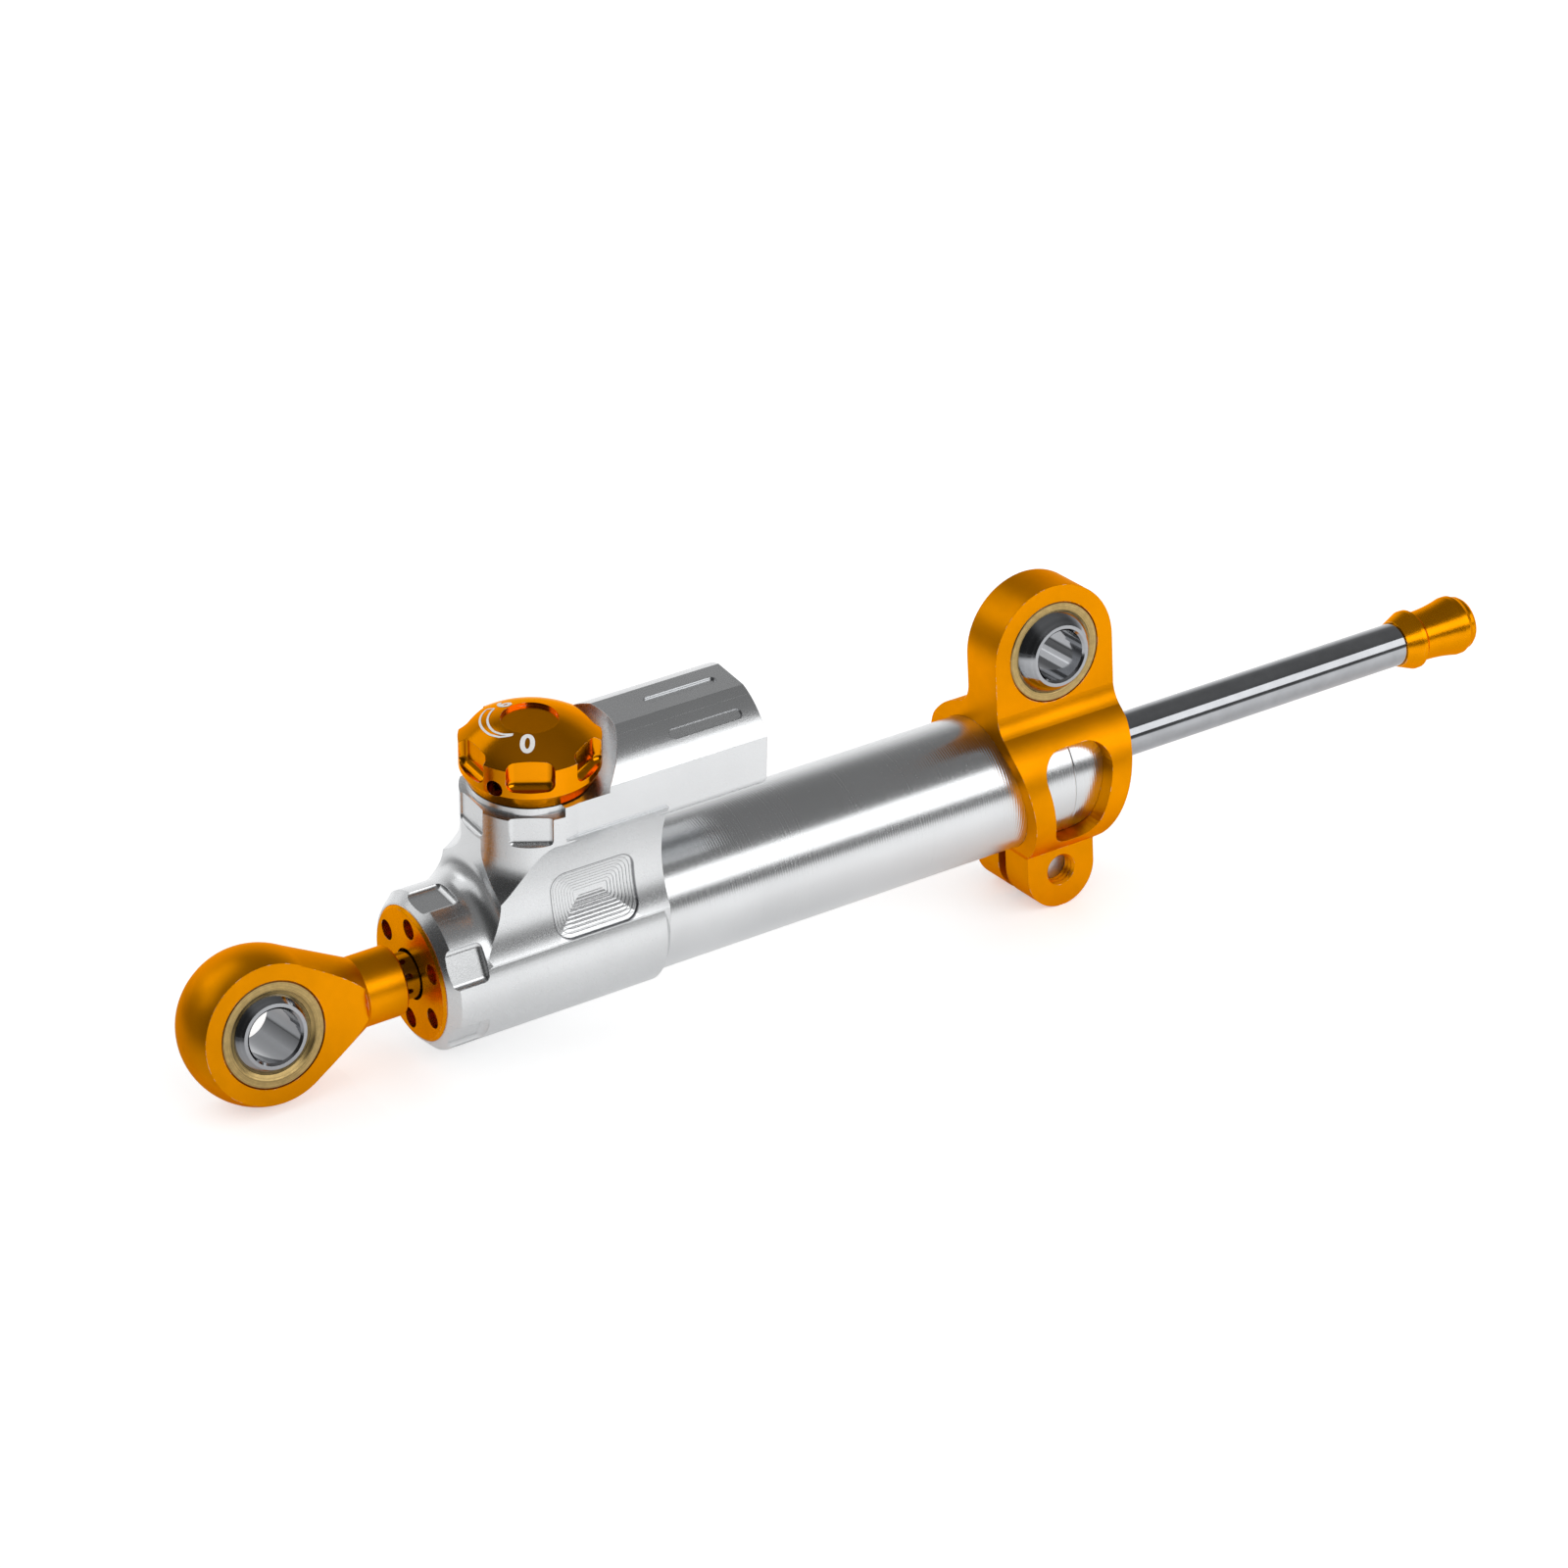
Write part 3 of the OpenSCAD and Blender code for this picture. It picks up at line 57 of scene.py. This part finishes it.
# The stepped pocket in the near flank, as in part.scad
POCKET_X = 49.5 * MM
POCKET_Z = 10.0 * MM
POCKET_HALF_LEN = 6.8 * MM
POCKET_HALF_H = 4.9 * MM
POCKET_CORNER = 2.4 * MM
FLANK_Y = -5 * MM

# Its nested tool marks, and the line of painted shade round its rim
MARK_PITCH = 0.5 * MM
MARK_DEPTH = 0.008 * MM
MARK_SLOPE = 0.11
RIM_OFFSET = 0.07 * MM
RIM_HALF = 0.1 * MM

# Where steps and edges get dark lines of painted shade: the lines' width, and a low and a high corner in mm
FLANK_POCKET = (0.1, (42.2, -12, 4.6), (56.8, -5, 15.4))
BLOCK_SLOTS = (0.16, (62.6, -9, 30.5), (75.8, 9, 33.8))
# The grey of the painted shade in the dark lines and round the pocket's rim
PAINTED_SHADE_GREY = (0.12, 0.12, 0.13)


# Node helpers


class Nodes:
    """Short calls that add nodes to one empty tree."""

    def __init__(self, tree):
        self.tree = tree
        tree.nodes.clear()

    def new(self, kind, **settings):
        node = self.tree.nodes.new(kind)
        for key, value in settings.items():
            setattr(node, key, value)
        return node

    def link(self, source, target):
        self.tree.links.new(source, target)

    def feed(self, socket, value):
        if isinstance(value, bpy.types.NodeSocket):
            self.link(value, socket)
        else:
            socket.default_value = value

    def noise(self, vector, scale, detail=2.0, rough=0.5, dims="3D"):
        node = self.new("ShaderNodeTexNoise", noise_dimensions=dims)
        self.link(vector, node.inputs["W" if dims == "1D" else "Vector"])
        node.inputs["Scale"].default_value = scale
        node.inputs["Detail"].default_value = detail
        node.inputs["Roughness"].default_value = rough
        return node.outputs[0]

    def maths(self, kind, a, b=0.0, c=0.0):
        node = self.new("ShaderNodeMath", operation=kind)
        for socket, value in zip(node.inputs, (a, b, c)):
            self.feed(socket, value)
        return node.outputs[0]

    def times(self, *values):
        product = values[0]
        for value in values[1:]:
            product = self.maths("MULTIPLY", product, value)
        return product

    def span(self, value, low, high, out_low, out_high):
        """Maps value from low..high to out_low..out_high, held at both ends."""
        node = self.new("ShaderNodeMapRange")
        for socket, number in zip(node.inputs[:5], (value, low, high, out_low, out_high)):
            self.feed(socket, number)
        return node.outputs[0]

    def mix(self, share, a, b, kind="MIX"):
        node = self.new("ShaderNodeMix", data_type="RGBA", blend_type=kind)
        self.feed(node.inputs[0], share)
        self.feed(node.inputs[6], (*a, 1.0) if isinstance(a, tuple) else a)
        self.feed(node.inputs[7], (*b, 1.0) if isinstance(b, tuple) else b)
        return node.outputs[2]

    def apart(self, vector):
        node = self.new("ShaderNodeSeparateXYZ")
        self.link(vector, node.inputs[0])
        return node.outputs

    def bump(self, height, distance, strength=1.0, normal=None):
        node = self.new("ShaderNodeBump")
        self.link(height, node.inputs["Height"])
        node.inputs["Distance"].default_value = distance
        node.inputs["Strength"].default_value = strength
        if normal is not None:
            self.link(normal, node.inputs["Normal"])
        return node.outputs[0]

    def ramp(self, value, *levels):
        """A smooth run of grey levels along value, given as pairs of place and level."""
        node = self.new("ShaderNodeValToRGB")
        node.color_ramp.interpolation = "EASE"
        stops = node.color_ramp.elements
        for stop, (place, level) in zip(stops, (levels[0], levels[-1])):
            stop.position, stop.color = place, (level, level, level, 1)
        for place, level in levels[1:-1]:
            stops.new(place).color = (level, level, level, 1)
        self.link(value, node.inputs[0])
        return node.outputs[0]

    def either(self, share, a, b):
        """A mix of two shaders."""
        node = self.new("ShaderNodeMixShader")
        for socket, source in zip(node.inputs, (share, a, b)):
            self.link(source, socket)
        return node.outputs[0]


class Look(Nodes):
    """One material: a Principled shader, and the nodes before it."""

    def __init__(self, name):
        self.material = bpy.data.materials.new(name)
        self.material.use_nodes = True
        super().__init__(self.material.node_tree)
        self.out = self.new("ShaderNodeOutputMaterial")
        self.shader = self.new("ShaderNodeBsdfPrincipled")
        self.link(self.shader.outputs[0], self.out.inputs[0])
        self.place = self.new("ShaderNodeTexCoord").outputs["Object"]

    def set(self, **values):
        for key, value in values.items():
            self.feed(self.shader.inputs[key.replace("_", " ")], value)

    def mapped(self, place=(0, 0, 0), turn=(0, 0, 0), source=None):
        node = self.new("ShaderNodeMapping")
        self.link(source or self.place, node.inputs["Vector"])
        node.inputs["Location"].default_value = place
        node.inputs["Rotation"].default_value = turn
        return node.outputs[0]

    def soft_edge(self, radius):
        """The tiny round that machining and polishing leave on every edge."""
        node = self.new("ShaderNodeBevel", samples=4)
        node.inputs["Radius"].default_value = radius
        return node.outputs[0]

    def edges(self, normal, none=0.98, full=0.9):
        """How far the softened normal leans from the true one: 0 on open faces, up to 1 on edges."""
        true = self.new("ShaderNodeNewGeometry").outputs["Normal"]
        node = self.new("ShaderNodeVectorMath", operation="DOT_PRODUCT")
        self.link(normal, node.inputs[0])
        self.link(true, node.inputs[1])
        return self.span(node.outputs["Value"], none, full, 0.0, 1.0)

    def within(self, low, high):
        """1 inside the box between two corners in mm, 0 outside."""
        inside = 1.0
        for value, a, b in zip(self.apart(self.place), low, high):
            above = self.maths("GREATER_THAN", value, a * MM)
            below = self.maths("LESS_THAN", value, b * MM)
            inside = self.times(inside, self.times(above, below))
        return inside

    def give(self, *names):
        for name in names:
            mesh = nodes[name].data
            mesh.materials.clear()
            mesh.materials.append(self.material)
        return self


def srgb(r, g, b):
    """An sRGB colour from 0 to 255 as linear numbers."""
    return tuple(((v / 255 + 0.055) / 1.055) ** 2.4 if v > 10 else v / 255 / 12.92 for v in (r, g, b))


def scaled(colour, factor):
    return tuple(v * factor for v in colour)


# Metals


def anodised(name, colour, rough=0.33, wear=0.0):
    """Dyed anodising over a fine blasted surface, slightly cloudy, nicked to bare metal on edges."""
    look = Look(name)
    cloud = look.noise(look.place, 90.0, 3.0, 0.55)
    grain = look.noise(look.place, 5200.0, 2.0, 0.6)
    soft = look.soft_edge(0.12 * MM)
    light = tuple(min(1.0, v) for v in scaled(colour, 1.06))
    body = look.mix(look.span(cloud, 0.35, 0.65, 0.0, 1.0), scaled(colour, 0.9), light)
    if wear:
        nick = look.noise(look.place, 700.0, 4.0, 0.7)
        spot = look.span(nick, 0.53, 0.58, 0.0, wear)
        body = look.mix(look.times(spot, look.edges(soft)), body, (0.95, 0.9, 0.8))
    look.set(
        Base_Color=body,
        Metallic=1.0,
        Specular_Tint=(1.0, 0.62, 0.12, 1.0),
        Roughness=look.span(grain, 0.3, 0.7, rough - 0.04, rough + 0.05),
        Normal=look.bump(grain, 0.012 * MM, 0.5, soft),
    )
    return look


def pocket_marks(look):
    """The height of the pocket's tool marks, nested rectangles that sink towards its middle, and
    a mask that is 1 on a thin line round its rim, where painted shade goes."""
    x, y, z = look.apart(look.place)
    near = look.maths("LESS_THAN", y, FLANK_Y)
    across = look.maths("ABSOLUTE", look.maths("SUBTRACT", x, POCKET_X))
    upward = look.maths("ABSOLUTE", look.maths("SUBTRACT", z, POCKET_Z))
    out = look.maths("MAXIMUM", look.maths("SUBTRACT", across, POCKET_HALF_LEN - POCKET_HALF_H), upward)
    out = look.span(out, 0.0, POCKET_HALF_H, 0.0, POCKET_HALF_H)
    wave = look.maths("SINE", look.times(out, 2 * math.pi / MARK_PITCH))
    height = look.maths("ADD", look.times(out, MARK_SLOPE), look.times(wave, MARK_DEPTH))
    squares = []
    for value, half in ((across, POCKET_HALF_LEN), (upward, POCKET_HALF_H)):
        past = look.maths("MAXIMUM", look.maths("SUBTRACT", value, half - POCKET_CORNER), 0.0)
        squares.append(look.maths("POWER", past, 2.0))
    reach = look.maths("SQRT", look.maths("ADD", *squares))
    rim = look.maths("COMPARE", reach, POCKET_CORNER + RIM_OFFSET, RIM_HALF)
    return look.times(height, near), look.times(rim, near)


def aluminium(name, colour, rough, line_depth=0.0, shade_lines=(), pocket=False):
    """Clear anodised aluminium, with turned lines round X where line_depth is given.

    milled lists the widths and boxes of dark lines of painted shade on steps and edges, and pocket adds the
    flank pocket's marks and a line of painted shade round its rim.
    """
    look = Look(name)
    tone = (colour * 0.97, colour * 0.985, colour)
    cloud = look.noise(look.place, 60.0, 3.0, 0.5)
    fine = look.noise(look.place, 6500.0, 2.0, 0.6)
    body = look.mix(look.span(cloud, 0.35, 0.65, 0.0, 1.0), scaled(tone, 0.965), scaled(tone, 1.03))
    normal = look.bump(fine, 0.008 * MM, 0.5, look.soft_edge(0.12 * MM))
    roughness = look.span(fine, 0.3, 0.7, rough - 0.03, rough + 0.04)
    # Painted shade: a dark line on the steps and edges inside each box
    for width, low, high in shade_lines:
        line = look.edges(look.soft_edge(width * MM), 0.999, 0.975)
        body = look.mix(look.times(look.within(low, high), line, 0.75), body, PAINTED_SHADE_GREY)
    if pocket:
        height, rim = pocket_marks(look)
        # Painted shade: a dark line round the pocket's rim
        body = look.mix(look.times(rim, 0.6), body, PAINTED_SHADE_GREY)
        normal = look.bump(height, 1.0, 1.0, normal)
    if line_depth:
        along = look.apart(look.place)[0]
        groove = look.new("ShaderNodeTexWave", wave_type="BANDS", bands_direction="X", wave_profile="SIN")
        joined = look.new("ShaderNodeCombineXYZ")
        look.link(along, joined.inputs[0])
        look.link(joined.outputs[0], groove.inputs["Vector"])
        groove.inputs["Scale"].default_value = 730.0
        jitter = look.noise(along, 3400.0, 3.0, 0.7, dims="1D")
        ridges = look.maths("ADD", groove.outputs[1], look.times(jitter, 0.8))
        normal = look.bump(ridges, line_depth, 1.0, normal)
        roughness = look.maths("ADD", roughness, look.span(jitter, 0.3, 0.7, -0.03, 0.03))
    look.set(Base_Color=body, Metallic=1.0, Roughness=roughness, Normal=normal)
    return look


def turned(name, colour, rough, roll, centre, depth, contrast):
    """Metal with turned rings round a bearing's axis, which is minus Y rolled about X."""
    look = Look(name)
    moved = look.mapped(place=scaled(centre, -1))
    x, _, z = look.apart(look.mapped(turn=(-roll, 0, 0), source=moved))
    radius = look.maths("SQRT", look.maths("ADD", look.times(x, x), look.times(z, z)))
    rings = look.noise(radius, 2600.0, 3.0, 0.7, dims="1D")
    blotch = look.noise(look.place, 900.0, 4.0, 0.7)
    tone = look.times(look.span(rings, 0.3, 0.7, 0.0, 1.0), look.span(blotch, 0.35, 0.65, 0.4, 1.0))
    look.set(
        Base_Color=look.mix(tone, scaled(colour, contrast), colour),
        Metallic=1.0,
        Roughness=look.span(rings, 0.3, 0.7, rough - 0.05, rough + 0.07),
        Normal=look.bump(rings, depth, 1.0, look.soft_edge(0.05 * MM)),
    )
    return look


def plain_metal(name, colour, rough, scale=800.0, edge=None):
    look = Look(name)
    speck = look.noise(look.place, scale, 3.0, 0.6)
    soft = look.soft_edge(edge) if edge else None
    look.set(
        Base_Color=look.mix(look.span(speck, 0.35, 0.65, 0.0, 1.0), scaled(colour, 0.9), colour),
        Metallic=1.0,
        Roughness=look.span(speck, 0.3, 0.7, rough - 0.03, rough + 0.04),
        Normal=look.bump(speck, 0.006 * MM, 0.5, soft),
    )
    return look


def matt(name, colour, rough, scale=1500.0):
    look = Look(name)
    speck = look.noise(look.place, scale, 3.0, 0.6)
    look.set(
        Base_Color=look.mix(speck, scaled(colour, 0.8), colour),
        Roughness=look.span(speck, 0.3, 0.7, rough - 0.06, rough + 0.06),
        Specular_IOR_Level=0.4,
        Normal=look.bump(speck, 0.01 * MM, 0.4),
    )
    return look


GOLD = srgb(238, 149, 3)
anodised("gold_eye", GOLD, 0.37, wear=0.7).give("rod_eye")
anodised("gold_clamp", GOLD, 0.39, wear=0.7).give("clamp")
anodised("gold_dial", srgb(236, 144, 5), 0.17, wear=0.4).give("adjuster_knob")
anodised("gold_cap", srgb(238, 150, 6), 0.28, wear=0.4).give("front_gland_cap")
anodised("gold_stop", GOLD, 0.25, wear=0.4).give("rod_end_stop")
anodised("gold_plug", GOLD, 0.3).give("compensator_plug")

aluminium("alu_head", 0.74, 0.25, shade_lines=(FLANK_POCKET, BLOCK_SLOTS), pocket=True).give("head_body")
aluminium("alu_tube", 0.74, 0.22, line_depth=0.011 * MM).give("main_tube")
aluminium("alu_end_cap", 0.72, 0.2, line_depth=0.005 * MM).give("rear_end_cap")
aluminium("alu_inside", 0.7, 0.35, line_depth=0.006 * MM).give(
    "inner_sleeve", "front_rod_guide", "piston", "spindle_retainer", "compensator_piston"
)

plain_metal("chrome", (0.42, 0.43, 0.45), 0.06, 300.0, 0.1 * MM).give("piston_rod")
BRASS = srgb(214, 184, 122)
BALL_STEEL = (0.4, 0.41, 0.43)
for place, roll, centre, race, ball in (
    ("eye", EYE_ROLL, EYE_BALL, "rod_eye_race", "rod_eye_ball"),
    ("clamp", CLAMP_ROLL, CLAMP_BALL, "clamp_race", "clamp_ball"),
):
    turned("brass_" + place, BRASS, 0.3, roll, centre, 0.012 * MM, 0.45).give(race)
    turned("steel_" + place + "_ball", BALL_STEEL, 0.09, roll, centre, 0.0006 * MM, 0.86).give(ball)
plain_metal("steel_screw", (0.78, 0.78, 0.79), 0.34, 1600.0, 0.06 * MM).give("clamp_pinch_bolt")
plain_metal("steel_dark", (0.16, 0.16, 0.17), 0.35, 1600.0).give("knob_grub_screw")
plain_metal("steel_inside", (0.5, 0.5, 0.52), 0.3).give(
    "adjuster_spindle", "needle_valve", "valve_seat", "detent_ball", "piston_circlips"
)
plain_metal("steel_springs", (0.45, 0.46, 0.48), 0.25, 2200.0).give("detent_spring", "compensator_spring")
matt("bronze_bushes", srgb(150, 112, 62), 0.45).give("front_rod_bush", "rear_rod_bush")
matt("white_band", (0.8, 0.79, 0.74), 0.4, 900.0).give("piston_band")
matt("black_rubber", (0.02, 0.02, 0.022), 0.6, 2500.0).give(
    "front_wiper",
    "front_rod_seal",
    "front_guide_oring",
    "rear_rod_seal",
    "rear_wiper",
    "rear_cap_oring",
    "compensator_plug_oring",
    "spindle_oring",
    "compensator_oring",
)


# Marks on the dial

MARK_LIFT = 0.03 * MM
MARK_GRID = 0.4 * MM
SWEEP_WIDTH = 0.32 * MM
SWEEP_STEP = 2.5

# The sweep's two lines: an angle in degrees, and the outer and the inner radius there in mm
SWEEP = [
    (115, 7.4, 6.1),
    (130, 7.25, 6.0),
    (145, 7.05, 5.95),
    (180, 6.45, 5.75),
    (195, 5.95, 5.4),
    (210, 4.95, 4.75),
]


def dome_height(x, y):
    """Height of the dial's dome at a point, from the rim of its dish."""
    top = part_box("adjuster_knob")[1].z
    centre = top - math.sqrt(DOME_R**2 - DISH_R**2)
    return centre + math.sqrt(DOME_R**2 - (x - DIAL_X) ** 2 - y**2)


def on_dome(name, mesh, look):
    """Lays a flat mesh on the dome, fine enough to follow it, and lets it ride on the dial."""
    work = bmesh.new()
    work.from_mesh(mesh)
    for axis in (Vector((1, 0, 0)), Vector((0, 1, 0))):
        low = min(v.co.dot(axis) for v in work.verts)
        high = max(v.co.dot(axis) for v in work.verts)
        cut = low + MARK_GRID
        while cut < high:
            geometry = work.verts[:] + work.edges[:] + work.faces[:]
            bmesh.ops.bisect_plane(work, geom=geometry, plane_co=axis * cut, plane_no=axis)
            cut += MARK_GRID
    bmesh.ops.triangulate(work, faces=work.faces)
    for v in work.verts:
        v.co.z = dome_height(v.co.x, v.co.y) + MARK_LIFT
    work.normal_update()
    if sum(f.normal.z for f in work.faces) < 0:
        bmesh.ops.reverse_faces(work, faces=work.faces)
    work.to_mesh(mesh)
    work.free()
    mesh.materials.clear()
    mesh.materials.append(look.material)
    obj = bpy.data.objects.new(name, mesh)
    bpy.context.scene.collection.objects.link(obj)
    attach(obj, "dial")


def polar(radius, degrees):
    a = math.radians(degrees)
    return Vector((DIAL_X + radius * math.cos(a), radius * math.sin(a), 0))


def number_mesh(text, height, radius, degrees, turn):
    """A bold number lying flat, its middle at that place and its top turned by turn degrees."""
    curve = bpy.data.curves.new("number_" + text, "FONT")
    curve.body = text
    curve.size = height / 0.7
    curve.align_x = "CENTER"
    curve.align_y = "CENTER"
    curve.offset = 0.05 * height
    curve.resolution_u = 6
    holder = bpy.data.objects.new("number_" + text, curve)
    bpy.context.scene.collection.objects.link(holder)
    bpy.context.view_layer.update()
    mesh = bpy.data.meshes.new_from_object(holder)
    bpy.data.objects.remove(holder)
    at = polar(radius, degrees)
    mesh.transform(Matrix.Translation(at) @ Matrix.Rotation(math.radians(turn), 4, "Z"))
    return mesh


def ribbon_mesh(name, points, width):
    """A closed line of even width through flat points."""
    n = len(points)
    verts, faces = [], []
    for i, p in enumerate(points):
        way = (points[(i + 1) % n] - points[i - 1]).normalized()
        side = Vector((-way.y, way.x, 0)) * width / 2
        verts += [p + side, p - side]
    for i in range(n):
        j = (i + 1) % n
        faces.append((2 * i, 2 * i + 1, 2 * j + 1, 2 * j))
    mesh = bpy.data.meshes.new(name)
    mesh.from_pydata(verts, [], faces)
    return mesh


def sweep_radius(degrees, column):
    """Radius of the outer (0) or inner (1) line of the sweep at an angle."""
    for (a, *ra), (b, *rb) in zip(SWEEP, SWEEP[1:]):
        if a <= degrees <= b:
            t = (degrees - a) / (b - a)
            return ra[column] + (rb[column] - ra[column]) * t


paint = matt("mark_paint", (0.86, 0.85, 0.84), 0.5, 2600.0)
first, last = SWEEP[0][0], SWEEP[-1][0]
steps = [first + SWEEP_STEP * i for i in range(round((last - first) / SWEEP_STEP) + 1)]
outer, inner = ([polar(sweep_radius(a, column) * MM, a) for a in steps] for column in (0, 1))
on_dome("dial_sweep", ribbon_mesh("dial_sweep", outer + inner[::-1], SWEEP_WIDTH), paint)
on_dome("dial_mark_0", number_mesh("0", 2.9 * MM, 6.1 * MM, -123, -33), paint)
on_dome("dial_mark_9", number_mesh("9", 2.6 * MM, 6.0 * MM, 100, 190), paint)


# Floor. It has two levels, one where the rod eye slides and one where the clamp slides, with a
# slope between them, so that neither sinks into it.

EYE_LEVEL = -11.6 * MM
CLAMP_LEVEL = -21.1544 * MM
SLOPE_START = 12 * MM
SLOPE_END = 78 * MM
REACH = 3.0


def make_floor():
    """A white floor under a soft light. The glow that reflections see is lower close under the part, a painted
    shadow of the part, and the floor is darker past its left end and far in front.
    """
    mesh = bpy.data.meshes.new("floor")
    profile = ((-REACH, EYE_LEVEL), (SLOPE_START, EYE_LEVEL), (SLOPE_END, CLAMP_LEVEL), (REACH, CLAMP_LEVEL))
    mesh.from_pydata(
        [(x, y, z) for x, z in profile for y in (-REACH, REACH)], [], [(0, 2, 3, 1), (2, 4, 5, 3), (4, 6, 7, 5)]
    )
    mesh.transform(Matrix.Rotation(CLAMP_ROLL, 4, "X"))
    floor = bpy.data.objects.new("floor", mesh)
    bpy.context.scene.collection.objects.link(floor)

    look = Look("floor_white")
    rays = look.new("ShaderNodeLightPath").outputs
    across, depth, _ = look.apart(look.place)
    fade = look.times(look.span(across, -0.10, 0.02, 0.0, 1.0), look.span(depth, -0.3, -0.15, 0.0, 1.0))
    off_axis = look.maths("ABSOLUTE", look.maths("ADD", depth, -0.005))
    tone = look.span(fade, 0.0, 1.0, 0.2, 0.86)
    paper = look.new("ShaderNodeCombineColor")
    for socket in paper.inputs[:3]:
        look.link(tone, socket)
    look.set(Base_Color=paper.outputs[0], Roughness=0.5, Specular_IOR_Level=0.2)
    # Painted shadow: the glow that reflections see is lower close under the part
    mirrored = look.times(
        look.maths("MAXIMUM", rays["Is Glossy Ray"], rays["Is Transmission Ray"]),
        look.times(look.span(off_axis, 0.018, 0.055, 0.13, 0.34), fade),
    )
    seen = look.times(rays["Is Camera Ray"], look.span(fade, 0.0, 1.0, 0.85, 0.42))
    glow = look.new("ShaderNodeEmission")
    look.link(look.maths("ADD", seen, mirrored), glow.inputs["Strength"])
    both = look.new("ShaderNodeAddShader")
    look.link(look.shader.outputs[0], both.inputs[0])
    look.link(glow.outputs[0], both.inputs[1])
    look.link(both.outputs[0], look.out.inputs[0])
    mesh.materials.append(look.material)


# World and lamps


def backdrop(sky):
    """A white wall behind the set that dims with height, and a dark room on the camera's side."""
    x, y, z = sky.apart(sky.new("ShaderNodeTexCoord").outputs["Generated"])
    wall = sky.ramp(z, (0.0, 1.0), (0.3, 0.64), (0.45, 0.36), (0.53, 0.22), (0.75, 0.18), (1.0, 0.19))
    room = sky.ramp(z, (0.0, 0.15), (0.3, 0.12), (0.5, 0.12), (1.0, 0.2))
    rear = sky.ramp(sky.span(y, -1.0, 1.0, 0.0, 1.0), (0.425, 0.0), (0.675, 1.0))
    left = sky.ramp(sky.span(x, -1.0, 1.0, 0.0, 1.0), (0.2, 0.25), (0.42, 1.0))
    return sky.mix(1.0, sky.mix(rear, room, wall), left, "MULTIPLY")


def make_world():
    """White to the camera, an even fill for rough light, and the backdrop in reflections."""
    world = bpy.data.worlds.new("studio")
    bpy.context.scene.world = world
    world.use_nodes = True
    sky = Nodes(world.node_tree)
    rays = sky.new("ShaderNodeLightPath").outputs
    fill, mirrored, white = (sky.new("ShaderNodeBackground") for _ in range(3))
    for even in (fill, white):
        even.inputs[0].default_value = (1, 1, 1, 1)
    fill.inputs[1].default_value = 0.7
    sky.link(backdrop(sky), mirrored.inputs[0])
    glossy = sky.maths("MAXIMUM", rays["Is Glossy Ray"], rays["Is Transmission Ray"])
    light = sky.either(glossy, fill.outputs[0], mirrored.outputs[0])
    total = sky.either(rays["Is Camera Ray"], light, white.outputs[0])
    sky.link(total, sky.new("ShaderNodeOutputWorld").inputs[0])


def set_up(name, data, right, up, back, at):
    """Adds a lamp or camera that looks along minus back."""
    obj = bpy.data.objects.new(name, data)
    bpy.context.scene.collection.objects.link(obj)
    obj.matrix_world = Matrix((*zip(right, up, back, at), (0, 0, 0, 1)))
    return obj


def softbox(name, way, width, height, level, aim=(90 * MM, 0, 10 * MM), distance=0.9):
    """A soft area lamp in direction way from aim. level is how bright it looks in a mirror."""
    lamp = bpy.data.lights.new(name, "AREA")
    lamp.shape = "RECTANGLE"
    lamp.size, lamp.size_y = width, height
    lamp.energy = level * math.pi * width * height
    way = Vector(way).normalized()
    side = Vector((1, 0, 0))
    side = (side - way * side.dot(way)).normalized()
    obj = set_up(name, lamp, side, way.cross(side), way, Vector(aim) + way * distance)
    obj.visible_camera = False


# Camera, at the photograph's viewing angle

AZIMUTH, ELEVATION, ROLL = (math.radians(v) for v in (-33.25537, 32.42115, 1.23023))
DISTANCE = 702.41916 * MM
TARGET = Vector((87.38815, 0, 11.44737)) * MM
FOCAL = 109.2847
SENSOR = 36


def make_camera():
    flat = math.cos(ELEVATION)
    back = Vector((math.sin(AZIMUTH) * flat, -math.cos(AZIMUTH) * flat, math.sin(ELEVATION)))
    level = (-back).cross(Vector((0, 0, 1))).normalized()
    upright = level.cross(-back)
    right = level * math.cos(ROLL) + upright * math.sin(ROLL)
    up = upright * math.cos(ROLL) - level * math.sin(ROLL)
    data = bpy.data.cameras.new("camera")
    data.sensor_width = SENSOR
    data.lens = FOCAL
    data.clip_start = 0.01
    data.clip_end = 20
    bpy.context.scene.camera = set_up("camera", data, right, up, back, TARGET + back * DISTANCE)


make_floor()
make_world()
softbox("key", (0.4, -0.71, 0.53), 1.5, 0.45, 1.7)
softbox("top", (-0.476, 0.677, 0.561), 0.9, 0.38, 0.8)
softbox("left", (-0.38, 0.84, 0.40), 0.25, 0.25, 0.8, aim=(0, 0, 0))
make_camera()
bpy.context.scene.view_settings.view_transform = "Standard"
